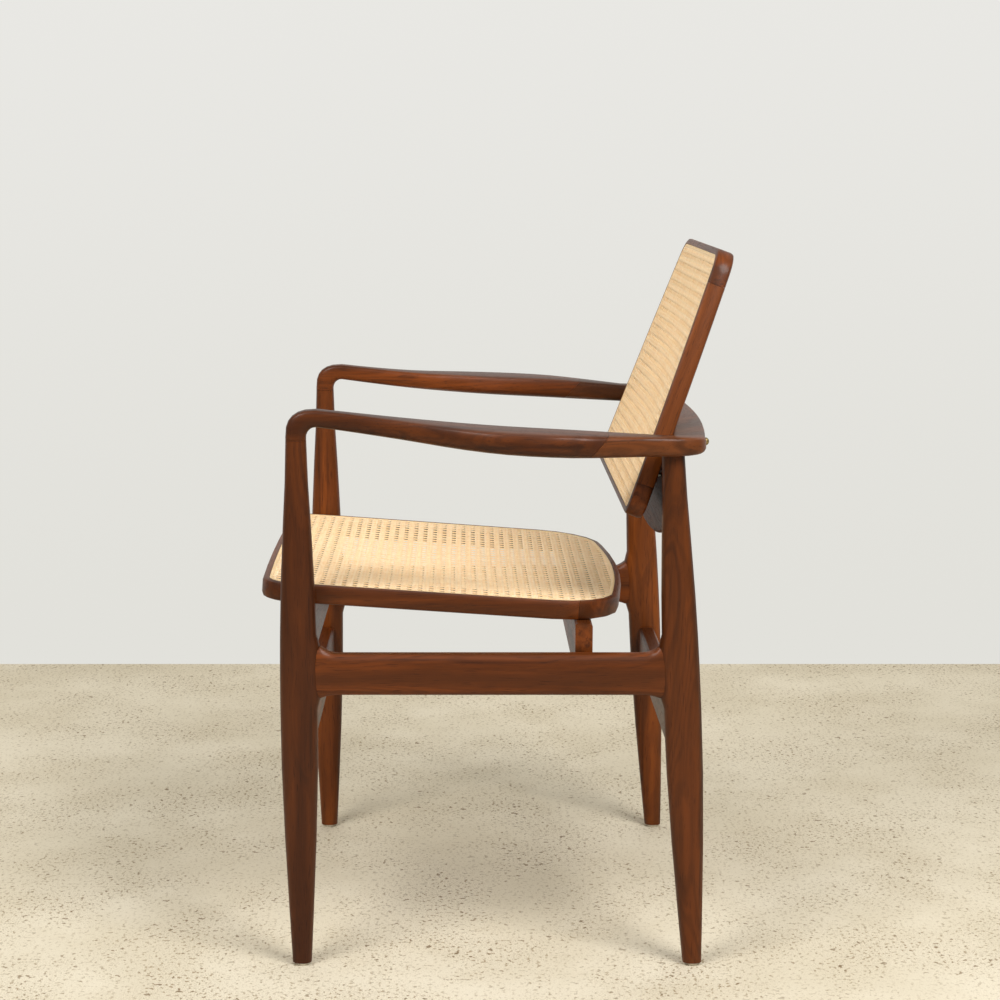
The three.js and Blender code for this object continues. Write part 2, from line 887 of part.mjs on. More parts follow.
function splineRing(corners) {
  const inset = caneMargin + jointGap;
  const outer = plate(corners, inset, splineCrown, splineDepth + splineCrown, splineCrown);
  const inner = plate(corners, inset + splineWidth, overrun, 2 * overrun);
  return outer.subtract(inner);
}

// How far a rounded corner narrows the outline, at a distance from the end edge
function cornerCut(radius, fromEnd) {
  const into = Math.max(radius - fromEnd, 0);
  return radius - Math.sqrt(radius * radius - into * into);
}

// The cane is a flat net: every gap stands for a few holes of the webbing
function caneNet(corners, height, halfWidthAt) {
  const inset = caneMargin + splineWidth + 3 * jointGap;
  const lowRadius = corners[0].radius - inset;
  const highRadius = corners[2].radius - inset;
  const roomAt = (y) => {
    const low = cornerCut(lowRadius, y - inset);
    const high = cornerCut(highRadius, height - inset - y);
    return halfWidthAt(y) - inset - low - high;
  };
  const shape = roundedOutline(insetCorners(corners, inset));
  const pitch = canePitch * caneColumnsPerGap;
  const half = (pitch * caneGapShare) / 2;
  const clip = half * 2 * caneGapCornerShare;
  const rows = Math.floor((height - 2 * inset) / pitch);
  const firstY = (height - (rows - 1) * pitch) / 2;
  for (let row = 0; row < rows; row += 1) {
    const y = firstY + row * pitch;
    const room = Math.min(roomAt(y - half), roomAt(y + half));
    const columns = Math.floor((2 * room) / pitch);
    for (let column = 0; column < columns; column += 1) {
      const x = (column - (columns - 1) / 2) * pitch;
      const hole = new THREE.Path();
      hole.moveTo(x - half + clip, y - half);
      hole.lineTo(x - half, y - half + clip);
      hole.lineTo(x - half, y + half - clip);
      hole.lineTo(x - half + clip, y + half);
      hole.lineTo(x + half - clip, y + half);
      hole.lineTo(x + half, y + half - clip);
      hole.lineTo(x + half, y - half + clip);
      hole.lineTo(x + half - clip, y - half);
      hole.closePath();
      shape.holes.push(hole);
    }
  }
  const geometry = new THREE.ExtrudeGeometry(shape, {
    depth: caneThickness,
    bevelEnabled: false,
    curveSegments: arcSteps,
  });
  geometry.translate(0, 0, -caneThickness);
  return toSolid(geometry);
}

const seatLegHalf = legHalfSpread - legThickest / 2 - seatLegClearance;
const seatFrontHalf = seatLegHalf + seatTaperShare * (frontLegY - seatFrontY);
const seatRearHalf = seatFrontHalf - seatTaperShare * seatDepth;
const backBottomHalf = legHalfSpread - backLegClearance;
const backTopHalf = backBottomHalf - backTaper;

const seatCorners = [
  { point: new THREE.Vector2(-seatFrontHalf, 0), radius: seatFrontRadius, bow: seatFrontBow },
  { point: new THREE.Vector2(seatFrontHalf, 0), radius: seatFrontRadius, bow: 0 },
  { point: new THREE.Vector2(seatRearHalf, seatDepth), radius: seatRearRadius, bow: seatRearBow },
  { point: new THREE.Vector2(-seatRearHalf, seatDepth), radius: seatRearRadius, bow: 0 },
];

const backCorners = [
  { point: new THREE.Vector2(-backBottomHalf, 0), radius: backBottomRadius, bow: 0 },
  { point: new THREE.Vector2(backBottomHalf, 0), radius: backBottomRadius, bow: backSideBow },
  { point: new THREE.Vector2(backTopHalf, backHeight), radius: backTopRadius, bow: 0 },
  { point: new THREE.Vector2(-backTopHalf, backHeight), radius: backTopRadius, bow: backSideBow },
];

function frameTenon(y, x, thickness, clearance = 0) {
  const size = new THREE.Vector3(frameTenonWidth, 2 * frameTenonLength, frameTenonThickness);
  const z = (-splineDepth - thickness) / 2;
  return boxAround(new THREE.Vector3(x, y, z), size, clearance);
}

// Cuts a frame at two lines and gives its four rails with their tenons
function frameRails(frame, lowY, highY, halfWidthAt, railWidth, thickness) {
  const gap = jointGap / 2;
  const fromEdge = railWidth - frameTenonInset - frameTenonWidth / 2;
  const lowX = halfWidthAt(lowY) - fromEdge;
  const highX = halfWidthAt(highY) - fromEdge;
  const beyond = new THREE.Vector3(farReach, farReach, farReach);
  const near = beyond.clone().negate();
  let low = frame.intersect(boxBetween(near, beyond.clone().setY(lowY - gap)));
  let high = frame.intersect(boxBetween(near.clone().setY(highY + gap), beyond));
  const middle = boxBetween(
    new THREE.Vector3(0, lowY + gap, -farReach),
    new THREE.Vector3(farReach, highY - gap, farReach),
  );
  let side = frame.intersect(middle);
  side = side.add(frameTenon(lowY, lowX, thickness)).add(frameTenon(highY, highX, thickness));
  const lowMortise = frameTenon(lowY, lowX, thickness, jointGap);
  const highMortise = frameTenon(highY, highX, thickness, jointGap);
  low = low.subtract(lowMortise).subtract(mirrored(lowMortise));
  high = high.subtract(highMortise).subtract(mirrored(highMortise));
  return { low, high, left: side, right: mirrored(side) };
}

function seatHalfWidthAt(y) {
  return THREE.MathUtils.lerp(seatFrontHalf, seatRearHalf, y / seatDepth);
}

function backHalfWidthAt(y) {
  return THREE.MathUtils.lerp(backBottomHalf, backTopHalf, y / backHeight);
}

// The front screws reach the front rail and the rear screws reach the rear rail
const frontSeatScrewAt = [seatScrewShare * legHalfSpread, frontLegY];
const rearSeatScrewAt = [seatScrewShare * legHalfSpread, rearBearerMiddleY];

// Half the back's width at a height above the floor
function backHalfWidthUp(z) {
  return backHalfWidthAt((z - backFootZ) / Math.cos(backLean));
}

const apronScrewZ = apronTop - apronScrewDrop;

// Screws: the axis runs along Z, the head's seat is at zero and the point is below
function screwBody(headRadius, headHeight, length, clearance = 0) {
  const shank = screwShank / 2 + clearance;
  const point = length + clearance;
  const profile = [
    new THREE.Vector2(0, -point),
    new THREE.Vector2(shank, shank - point),
    new THREE.Vector2(shank, -headHeight),
    new THREE.Vector2(headRadius + clearance, clearance),
    new THREE.Vector2(0, clearance),
  ];
  return new THREE.LatheGeometry(profile, roundSides);
}

function brassScrewBody(clearance = 0) {
  const shank = screwShank / 2 + clearance;
  const point = brassScrewLength + clearance;
  const radius = brassHead / 2;
  const profile = [new THREE.Vector2(0, -point), new THREE.Vector2(shank, shank - point)];
  if (clearance) {
    profile.push(new THREE.Vector2(shank, overrun), new THREE.Vector2(0, overrun));
    return new THREE.LatheGeometry(profile, roundSides);
  }
  profile.push(new THREE.Vector2(shank, jointGap));
  const steps = 4;
  for (let i = 0; i < steps; i += 1) {
    const angle = ((Math.PI / 2) * i) / steps;
    profile.push(new THREE.Vector2(radius * Math.cos(angle), jointGap + brassDome * Math.sin(angle)));
  }
  profile.push(new THREE.Vector2(0, jointGap + brassDome));
  return new THREE.LatheGeometry(profile, roundSides);
}

// Lathe solids have their axis along Y: the head can face up, down or to the rear
function facing(geometry, direction, place) {
  const turned = geometry.clone();
  if (direction === 'down') {
    turned.rotateX(-Math.PI / 2);
  }
  turned.translate(place.x, place.y, place.z);
  return toSolid(turned);
}

function seatScrewPlace(x, y) {
  const tip = seatUndersideZ(y) + jointGap + seatScrewBite;
  return new THREE.Vector3(x, y, tip - seatScrewLength);
}

function seatScrew(x, y, clearance = 0) {
  const body = screwBody(screwHead / 2, screwCountersink, seatScrewLength, clearance);
  return facing(body, 'down', seatScrewPlace(x, y));
}

function seatScrewBore(x, y) {
  const place = seatScrewPlace(x, y);
  const bore = new THREE.CylinderGeometry(counterbore / 2, counterbore / 2, farReach, roundSides);
  bore.rotateX(Math.PI / 2);
  bore.translate(place.x, place.y, place.z - farReach / 2);
  return toSolid(bore).add(seatScrew(x, y, jointGap));
}

function brassScrewPlace() {
  const x = backHalfWidthUp(brassScrewZ) - brassScrewInset;
  const section = railSection(x);
  const rear = section.center.y + section.u.y;
  return new THREE.Vector3(x, rear, brassScrewZ);
}

function brassScrew(clearance = 0) {
  return facing(brassScrewBody(clearance), 'rear', brassScrewPlace());
}

function apronScrew(clearance = 0) {
  const body = screwBody(screwHead / 2, screwCountersink, apronScrewLength, clearance);
  const x = backHalfWidthUp(apronScrewZ) - apronScrewInset;
  const rear = apronFrontY + apronThickness;
  return facing(body, 'rear', new THREE.Vector3(x, rear, apronScrewZ));
}

// Solids in place

const withPair = (solid) => solid.add(mirrored(solid));

function frontLegSolid() {
  let body = legBody(frontLeg).add(legTenon(frontLeg));
  body = body.subtract(stretcherTenon(frontLeg, jointGap));
  body = body.subtract(boardTenon(tenonSeats.frontCross, ...crossRailTenon, jointGap));
  body = body.subtract(boardTenon(tenonSeats.frontBearer, ...frontBearerTenon, jointGap));
  return body.subtract(glideAt(frontLeg, jointGap));
}

function rearLegSolid() {
  let body = legBody(rearLeg).add(legTenon(rearLeg));
  body = body.subtract(stretcherTenon(rearLeg, jointGap));
  body = body.subtract(boardTenon(tenonSeats.rearCross, ...crossRailTenon, jointGap));
  body = body.subtract(boardTenon(tenonSeats.apron, ...apronTenon, jointGap));
  return body.subtract(glideAt(rearLeg, jointGap));
}

const seatPlace = new THREE.Matrix4()
  .makeTranslation(0, seatFrontY, seatFrontTop)
  .multiply(new THREE.Matrix4().makeRotationX(-seatSlope));
// The back's plane: its height runs up the slope and its thickness runs to the rear
const backPlace = new THREE.Matrix4()
  .makeTranslation(0, backFootY, backFootZ)
  .multiply(new THREE.Matrix4().makeRotationX(Math.PI / 2 - backLean));

function placed(solid, matrix) {
  return toSolid(toGeometry(solid).applyMatrix4(matrix));
}

function seatPieces() {
  const lowY = seatRailWidth;
  const highY = seatDepth - seatRearRailWidth;
  const opening = openingCorners(seatHalfWidthAt, seatRailWidth, lowY, highY, 0);
  const frame = caneFrame(seatCorners, opening, seatThickness);
  const rails = frameRails(frame, lowY, highY, seatHalfWidthAt, seatRailWidth, seatThickness);
  rails.spline = splineRing(seatCorners);
  rails.cane = caneNet(seatCorners, seatDepth, seatHalfWidthAt);
  for (const name of Object.keys(rails)) {
    rails[name] = placed(rails[name], seatPlace);
  }
  const frontBore = withPair(seatScrew(...frontSeatScrewAt, jointGap));
  const rearBore = withPair(seatScrew(...rearSeatScrewAt, jointGap));
  rails.low = rails.low.subtract(frontBore);
  rails.high = rails.high.subtract(rearBore);
  return rails;
}

function backPieces() {
  const lowY = backRailWidth;
  const highY = backHeight - backRailWidth;
  const opening = openingCorners(backHalfWidthAt, backRailWidth, lowY, highY, backSideBow);
  const frame = caneFrame(backCorners, opening, backThickness);
  const rails = frameRails(frame, lowY, highY, backHalfWidthAt, backRailWidth, backThickness);
  rails.spline = splineRing(backCorners);
  rails.cane = caneNet(backCorners, backHeight, backHalfWidthAt);
  for (const name of Object.keys(rails)) {
    rails[name] = placed(rails[name], backPlace);
  }
  const bores = withPair(brassScrew(jointGap)).add(withPair(apronScrew(jointGap)));
  for (const name of ['low', 'left', 'right']) {
    rails[name] = rails[name].subtract(bores);
  }
  return rails;
}

function backEnvelope() {
  const outline = plate(backCorners, -jointGap, overrun, overrun + backThickness + jointGap);
  return placed(outline, backPlace);
}

function backRailSolid() {
  const body = railBody().subtract(backEnvelope());
  const mortises = withPair(legTenon(rearLeg, jointGap));
  return body.subtract(mortises).subtract(withPair(brassScrew(jointGap)));
}

function apronSolid() {
  return apron().subtract(backEnvelope()).subtract(withPair(apronScrew(jointGap)));
}

function stretcherSolid() {
  return stretcherBody().subtract(boardTenon(tenonSeats.rearBearer, ...rearBearerTenon, jointGap));
}

// Materials

const woodLook = { color: 0x5a2c14, roughness: 0.42, metalness: 0 };
const caneLook = { color: 0xe8cd9a, roughness: 0.6, metalness: 0 };
const splineLook = { color: 0xdfbf88, roughness: 0.55, metalness: 0 };
const brassLook = { color: 0xb59a4c, roughness: 0.35, metalness: 1 };
const steelLook = { color: 0x8c8c8a, roughness: 0.4, metalness: 1 };
const glideLook = { color: 0xdad6c8, roughness: 0.35, metalness: 0 };

// The chair

const chair = new THREE.Group();
chair.name = 'caned_armchair';

function addPiece(name, solid, look) {
  const mesh = new THREE.Mesh(toGeometry(solid), new THREE.MeshStandardMaterial(look));
  mesh.name = name;
  chair.add(mesh);
}

function addPair(name, solid, look) {
  addPiece(`${name}_left`, solid, look);
  addPiece(`${name}_right`, mirrored(solid), look);
}

addPair('front_leg', frontLegSolid(), woodLook);
addPair('rear_leg', rearLegSolid(), woodLook);
addPair('arm', armBody(), woodLook);
addPiece('back_rail', backRailSolid(), woodLook);
addPiece('back_apron', apronSolid(), woodLook);
addPair('side_stretcher', stretcherSolid(), woodLook);
addPiece('front_seat_bearer', frontBearer().subtract(withPair(seatScrewBore(...frontSeatScrewAt))), woodLook);
addPiece('rear_seat_bearer', rearBearer().subtract(withPair(seatScrewBore(...rearSeatScrewAt))), woodLook);
addPiece('front_cross_rail', crossRail(frontLeg, tenonSeats.frontCross), woodLook);
addPiece('rear_cross_rail', crossRail(rearLeg, tenonSeats.rearCross), woodLook);

const seat = seatPieces();
addPiece('seat_front_rail', seat.low, woodLook);
addPiece('seat_rear_rail', seat.high, woodLook);
addPiece('seat_rail_left', seat.left, woodLook);
addPiece('seat_rail_right', seat.right, woodLook);
addPiece('seat_cane', seat.cane, caneLook);
addPiece('seat_spline', seat.spline, splineLook);

const back = backPieces();
addPiece('back_bottom_rail', back.low, woodLook);
addPiece('back_top_rail', back.high, woodLook);
addPiece('back_stile_left', back.left, woodLook);
addPiece('back_stile_right', back.right, woodLook);
addPiece('back_cane', back.cane, caneLook);
addPiece('back_spline', back.spline, splineLook);

addPair('front_foot_glide', glideAt(frontLeg), glideLook);
addPair('rear_foot_glide', glideAt(rearLeg), glideLook);
addPair('brass_back_screw', brassScrew(), brassLook);
addPair('apron_screw', apronScrew(), steelLook);
addPair('front_seat_screw', seatScrew(...frontSeatScrewAt), steelLook);
addPair('rear_seat_screw', seatScrew(...rearSeatScrewAt), steelLook);

// The origin is on the floor, under the middle of the chair
const bounds = new THREE.Box3().setFromObject(chair);
const middle = bounds.getCenter(new THREE.Vector3());
chair.position.set(-middle.x, -middle.y, -bounds.min.z);

export default chair;
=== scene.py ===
# %% [markdown]
# # A caned open armchair, dressed in Blender
#
# The wood and the fittings come from the CAD model and keep their shapes. What it can only hint at is
# made here: the woven cane of the seat and the back, the reed spline that holds it, the figure of the
# wood, and the light. Lengths are in metres, in the CAD model's own frame: Z is up, the front of the chair
# faces -Y and the sitter's left is +X.

# %% Load the CAD model
import math

import bpy
import numpy as np
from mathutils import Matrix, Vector


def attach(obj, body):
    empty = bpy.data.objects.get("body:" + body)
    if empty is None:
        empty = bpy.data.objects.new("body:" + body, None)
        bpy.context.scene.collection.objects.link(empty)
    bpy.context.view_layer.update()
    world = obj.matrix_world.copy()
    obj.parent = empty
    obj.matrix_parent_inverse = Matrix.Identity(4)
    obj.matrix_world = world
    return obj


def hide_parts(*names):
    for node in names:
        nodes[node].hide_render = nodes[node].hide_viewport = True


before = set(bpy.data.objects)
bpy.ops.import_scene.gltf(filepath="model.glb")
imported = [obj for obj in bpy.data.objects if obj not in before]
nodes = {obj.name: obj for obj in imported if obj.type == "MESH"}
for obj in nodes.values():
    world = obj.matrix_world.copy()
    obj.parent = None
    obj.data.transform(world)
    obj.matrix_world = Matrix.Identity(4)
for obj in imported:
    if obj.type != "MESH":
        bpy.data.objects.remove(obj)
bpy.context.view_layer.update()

print(len(nodes), "CAD nodes")

# %% [markdown]
# ## Two tilted panels
#
# The seat and the back are two flat frames, each on a slope. They could be drawn flat and then turned as
# objects, but every piece here stays unturned at the origin. So their points are computed flat, with x
# across, y up the panel and z out of it, and one matrix carries them to their place. The sizes repeat the
# CAD model's, because this script reads nothing but the imported frame.

# %% The panels' sizes and places
MM = 0.001
# The CAD model stands this far back, which centres its box on the origin.
CENTRING_Y = 1.997 * MM
LEG_HALF_SPREAD = 258 * MM
LEG_THICKEST = 32 * MM
FRONT_LEG_Y = -228.8 * MM

SEAT_FRONT_Y = -273.4 * MM
SEAT_FRONT_TOP = 453.4 * MM
SEAT_SLOPE = math.radians(4)
SEAT_DEPTH = 421 * MM
SEAT_TAPER_SHARE = 0.014
SEAT_LEG_CLEARANCE = 0.9 * MM
SEAT_LEG_HALF = LEG_HALF_SPREAD - LEG_THICKEST / 2 - SEAT_LEG_CLEARANCE
SEAT_FRONT_HALF = SEAT_LEG_HALF + SEAT_TAPER_SHARE * (FRONT_LEG_Y - SEAT_FRONT_Y)
SEAT_REAR_HALF = SEAT_FRONT_HALF - SEAT_TAPER_SHARE * SEAT_DEPTH
SEAT_FRONT_BOW = 3 * MM
SEAT_REAR_BOW = 10 * MM
SEAT_FRONT_RADIUS = 37 * MM
SEAT_REAR_RADIUS = 84 * MM
SEAT_RAIL_WIDTH = 44 * MM
SEAT_REAR_RAIL_WIDTH = 52 * MM

BACK_FOOT_Y = 144.5 * MM
BACK_FOOT_Z = 530.6 * MM
BACK_LEAN = math.radians(20.2)
BACK_HEIGHT = 319.8 * MM
BACK_LEG_CLEARANCE = 16 * MM
BACK_TAPER = 62.5 * MM
BACK_BOTTOM_HALF = LEG_HALF_SPREAD - BACK_LEG_CLEARANCE
BACK_TOP_HALF = BACK_BOTTOM_HALF - BACK_TAPER
BACK_SIDE_BOW = 5 * MM
BACK_BOTTOM_RADIUS = 18 * MM
BACK_TOP_RADIUS = 32 * MM
BACK_RAIL_WIDTH = 40 * MM


def tilted_frame(origin, tilt):
    """A 4 by 4 matrix: a turn by tilt about the X axis, then a move to origin."""
    cosine, sine = math.cos(tilt), math.sin(tilt)
    place = np.eye(4)
    place[1:3, 1:3] = [[cosine, -sine], [sine, cosine]]
    place[:3, 3] = origin
    return place


seat_place = tilted_frame((0, SEAT_FRONT_Y + CENTRING_Y, SEAT_FRONT_TOP), -SEAT_SLOPE)
back_place = tilted_frame((0, BACK_FOOT_Y + CENTRING_Y, BACK_FOOT_Z), math.pi / 2 - BACK_LEAN)
print("seat front at", seat_place[:3, 3], "back foot at", back_place[:3, 3])

# %% [markdown]
# ## The outline of a panel
#
# Each panel has four sides, some of them slightly bowed, and rounded corners. A Bezier curve object could
# draw it, but the spline and the weave both need to know where the edge is at any distance inwards. So the
# outline is computed as one closed loop of points: a straight or bowed edge, then a corner, four times.

# %% An outline with rounded corners
# With its handles this share of the way to the corner's tip, a cubic curve nearly follows a circle.
CORNER_HANDLE_SHARE = 0.5523


def unit(vector):
    """The vector divided by its length."""
    return vector / np.linalg.norm(vector)


def inset_corners(corners, inset):
    """Each corner moves in along the sum of its two edges' normals. Its radius shrinks by as much, down to
    half the inset."""
    points = [np.array(corner[0], float) for corner in corners]
    moved = []
    for i, (_, radius, bow) in enumerate(corners):
        into = unit(points[i] - points[i - 1])
        out = unit(points[(i + 1) % 4] - points[i])
        normal_in = np.array([-into[1], into[0]])
        normal_out = np.array([-out[1], out[0]])
        reach = inset / (1 + normal_in @ normal_out)
        point = points[i] + (normal_in + normal_out) * reach
        moved.append((point, max(radius - inset, inset / 2), bow))
    return moved


def quadratic(start, handle, stop, t):
    """A curve from start to stop: the three points weighted by the terms of ((1 - t) + t) squared."""
    return (1 - t) ** 2 * start + 2 * t * (1 - t) * handle + t**2 * stop


def cubic(start, first, second, stop, t):
    """A curve from start to stop: the four points weighted by the terms of ((1 - t) + t) cubed."""
    return (1 - t) ** 3 * start + 3 * t * (1 - t) ** 2 * first + 3 * t**2 * (1 - t) * second + t**3 * stop


def outline(corners, inset, edge_steps=48, turn_steps=16):
    """A closed loop of points. An edge is a quadratic curve with its handle two bows outside the middle, so
    that its middle bulges by one bow. A corner is a cubic curve between the ends of two edges."""
    corners = inset_corners(corners, inset)
    ends = []
    for i, (point, radius, _) in enumerate(corners):
        to_before = unit(corners[i - 1][0] - point)
        to_after = unit(corners[(i + 1) % 4][0] - point)
        reach = radius / math.tan(math.acos(to_before @ to_after) / 2)
        ends.append((point + to_before * reach, point + to_after * reach))
    t_edge = np.linspace(0, 1, edge_steps, endpoint=False)[:, None]
    t_turn = np.linspace(0, 1, turn_steps, endpoint=False)[:, None]
    runs = []
    for i, (_, _, bow) in enumerate(corners):
        after = (i + 1) % 4
        start, stop = ends[i][1], ends[after][0]
        chord = stop - start
        handle = (start + stop) / 2 + unit(np.array([chord[1], -chord[0]])) * 2 * bow
        runs.append(quadratic(start, handle, stop, t_edge))
        tip, leave = corners[after][0], ends[after][1]
        first = stop + (tip - stop) * CORNER_HANDLE_SHARE
        second = leave + (tip - leave) * CORNER_HANDLE_SHARE
        runs.append(cubic(stop, first, second, leave, t_turn))
    return np.concatenate(runs)


# Each corner is a point, a radius, and the bow of the edge that leaves it.
seat_corners = [
    ((-SEAT_FRONT_HALF, 0), SEAT_FRONT_RADIUS, SEAT_FRONT_BOW),
    ((SEAT_FRONT_HALF, 0), SEAT_FRONT_RADIUS, 0),
    ((SEAT_REAR_HALF, SEAT_DEPTH), SEAT_REAR_RADIUS, SEAT_REAR_BOW),
    ((-SEAT_REAR_HALF, SEAT_DEPTH), SEAT_REAR_RADIUS, 0),
]
back_corners = [
    ((-BACK_BOTTOM_HALF, 0), BACK_BOTTOM_RADIUS, 0),
    ((BACK_BOTTOM_HALF, 0), BACK_BOTTOM_RADIUS, BACK_SIDE_BOW),
    ((BACK_TOP_HALF, BACK_HEIGHT), BACK_TOP_RADIUS, 0),
    ((-BACK_TOP_HALF, BACK_HEIGHT), BACK_TOP_RADIUS, BACK_SIDE_BOW),
]
seat_edge = outline(seat_corners, inset=0)
print("the seat reaches from", seat_edge.min(0).round(3), "to", seat_edge.max(0).round(3))

# %% [markdown]
# ## The dip of the cane
#
# Cane is stretched wet and tightens as it dries, but years of use leave it a little hollow. Over the
# wooden rails it lies flat, and inside the opening it sinks like a membrane: deepest in the middle, and
# steepest at the rails. A cloth simulation could sag it, but a formula lets every strand ask how deep it
# lies at its own place.

# %% How deep the cane sits
SEAT_DIP = 8 * MM
BACK_DIP = 4.5 * MM


def half_opening(y, panel):
    """Half the opening's width at y: a straight taper between the two ends, less the rail."""
    taper = (panel["top_half"] - panel["bottom_half"]) * y / panel["height"]
    return panel["bottom_half"] + taper - panel["rail"]


def dip(x, y, panel):
    """Depth times (1 - u squared) times (1 - v squared), where u and v run from -1 to 1 over the opening."""
    u = x / half_opening(y, panel)
    middle = (panel["low"] + panel["high"]) / 2
    v = (y - middle) / ((panel["high"] - panel["low"]) / 2)
    return panel["dip"] * np.clip(1 - u**2, 0, None) * np.clip(1 - v**2, 0, None)


seat_panel = {
    "corners": seat_corners,
    "place": seat_place,
    "bottom_half": SEAT_FRONT_HALF,
    "top_half": SEAT_REAR_HALF,
    "height": SEAT_DEPTH,
    "rail": SEAT_RAIL_WIDTH,
    "low": SEAT_RAIL_WIDTH,
    "high": SEAT_DEPTH - SEAT_REAR_RAIL_WIDTH,
    "dip": SEAT_DIP,
}
back_panel = {
    "corners": back_corners,
    "place": back_place,
    "bottom_half": BACK_BOTTOM_HALF,
    "top_half": BACK_TOP_HALF,
    "height": BACK_HEIGHT,
    "rail": BACK_RAIL_WIDTH,
    "low": BACK_RAIL_WIDTH,
    "high": BACK_HEIGHT - BACK_RAIL_WIDTH,
    "dip": BACK_DIP,
}
print("half openings at the front and at the foot", half_opening(0, seat_panel), half_opening(0, back_panel))

# %% [markdown]
# ## Turning arrays into a mesh
#
# A mesh is a list of points and a list of faces. They could be added one by one with bmesh, but whole numpy
# arrays are far quicker for a weave of many thousand faces. Three small helpers are enough: one makes the
# object, one carries a flat panel's points to their place, and one writes a value at each point that a
# material can read, such as a position along a strand.

# %% Mesh helpers


def make_piece(name, points, *face_arrays):
    """A smooth object at the origin, from an array of points and one array of faces for each number of
    corners."""
    mesh = bpy.data.meshes.new(name)
    corners = np.concatenate([np.full(len(faces), faces.shape[1]) for faces in face_arrays])
    loops = np.concatenate([faces.ravel() for faces in face_arrays])
    mesh.vertices.add(len(points))
    mesh.vertices.foreach_set("co", points.astype(np.float32).ravel())
    mesh.loops.add(len(loops))
    mesh.loops.foreach_set("vertex_index", loops.astype(np.int32))
    mesh.polygons.add(len(corners))
    mesh.polygons.foreach_set("loop_start", (np.cumsum(corners) - corners).astype(np.int32))
    mesh.polygons.foreach_set("use_smooth", np.ones(len(corners), bool))
    mesh.update(calc_edges=True)
    piece = bpy.data.objects.new(name, mesh)
    bpy.context.scene.collection.objects.link(piece)
    return piece


def carried(points, place):
    """Points of a flat panel, carried to their place: the matrix times each point."""
    return points @ place[:3, :3].T + place[:3, 3]


def point_values(piece, name, values):
    """One number or one vector for each point of the mesh, for a material to read."""
    kind, part = ("FLOAT", "value") if values.ndim == 1 else ("FLOAT_VECTOR", "vector")
    attribute = piece.data.attributes.new(name, kind, "POINT")
    attribute.data.foreach_set(part, values.astype(np.float32).ravel())


print("the back's head is at", carried(np.array([0, BACK_HEIGHT, 0]), back_place).round(3))

# %% [markdown]
# ## The reed spline
#
# A wedge of reed is tapped into a groove round the panel and holds the edge of the cane. Its rounded top
# ends about level with the wood. A curve object with a bevel could draw it, but here a profile is carried
# along the outline, a low arch above and a straight foot below, because that also gives each point's
# distance along the reed.

# %% The splines of the seat and the back
CANE_MARGIN = 7.6 * MM
SPLINE_WIDTH = 4.4 * MM
SPLINE_DEPTH = 5.7 * MM
SPLINE_CROWN = 0.6 * MM
SPLINE_SINK = 0.5 * MM
SPLINE_GAP = 0.3 * MM


def spline_profile(steps=8):
    """Points round the section: across is a cosine, height is the crown times a sine less the sink, and
    two points below make the foot. The first number is measured inwards from the groove's middle."""
    angle = np.linspace(0, math.pi, steps + 1)
    top = np.stack([SPLINE_WIDTH / 2 * np.cos(angle), SPLINE_CROWN * np.sin(angle) - SPLINE_SINK], 1)
    foot = np.array([[-SPLINE_WIDTH / 2, -SPLINE_DEPTH], [SPLINE_WIDTH / 2, -SPLINE_DEPTH]])
    return np.concatenate([top, foot])


def ring_faces(rings, sides):
    """Four-cornered faces from each ring of points to the next, closed round the ring and at its end."""
    ring, side = np.meshgrid(np.arange(rings), np.arange(sides), indexing="ij")
    next_ring = (ring + 1) % rings
    next_side = (side + 1) % sides
    corners = ((ring, side), (next_ring, side), (next_ring, next_side), (ring, next_side))
    return np.stack([row * sides + column for row, column in corners], -1).reshape(-1, 4)


def reed_spline(name, panel):
    """The profile carried along the outline: each section lies at right angles to the loop's direction."""
    loop = outline(panel["corners"], CANE_MARGIN + SPLINE_GAP + SPLINE_WIDTH / 2)
    ahead = np.roll(loop, -1, 0) - np.roll(loop, 1, 0)
    ahead /= np.linalg.norm(ahead, axis=1)[:, None]
    inward = np.stack([-ahead[:, 1], ahead[:, 0]], 1)
    profile = spline_profile()
    flat = loop[:, None, :] + inward[:, None, :] * profile[None, :, :1]
    height = np.broadcast_to(profile[None, :, 1:], (len(loop), len(profile), 1))
    points = np.concatenate([flat, height], 2).reshape(-1, 3)
    piece = make_piece(name, carried(points, panel["place"]), ring_faces(len(loop), len(profile)))
    steps = np.linalg.norm(np.diff(loop, axis=0), axis=1)
    along = np.repeat(np.concatenate([[0], np.cumsum(steps)]), len(profile))
    across = np.tile(profile[:, 0], len(loop))
    point_values(piece, "along_reed", np.stack([across, along, np.zeros_like(along)], 1))
    return piece


seat_spline = reed_spline("seat_reed_spline", seat_panel)
back_spline = reed_spline("back_reed_spline", back_panel)
print("spline faces", len(seat_spline.data.polygons), len(back_spline.data.polygons))

# %% [markdown]
# ## The woven cane
#
# This is the six-way pattern of cane webbing. Pairs of strands run up the panel and pairs run across it,
# 12.7 mm apart. They are plain woven: where two pairs cross, each strand goes over one of the other pair and
# under its neighbour. Single strands run along both diagonals and pass half way between those crossings.
# One diagonal goes over the upright pairs and under the cross pairs, the other the opposite. They cut the
# corners off the square gaps, which leaves a grid of eight-sided holes.
#
# An image of a weave would look flat at the edge of the holes, so the strands are real. A curve for each
# strand would be slow, so all strands of one direction are computed at once: a grid of strands by samples,
# each sample a small five-sided section.

# %% How a strand is drawn
PITCH = 12.7 * MM
# From the middle of one strand of a pair to the middle of the other.
PAIR_SPREAD = 4.2 * MM
STRAND_WIDTH = 3.2 * MM
DIAGONAL_WIDTH = 2.7 * MM
STRAND_THICKNESS = 1 * MM
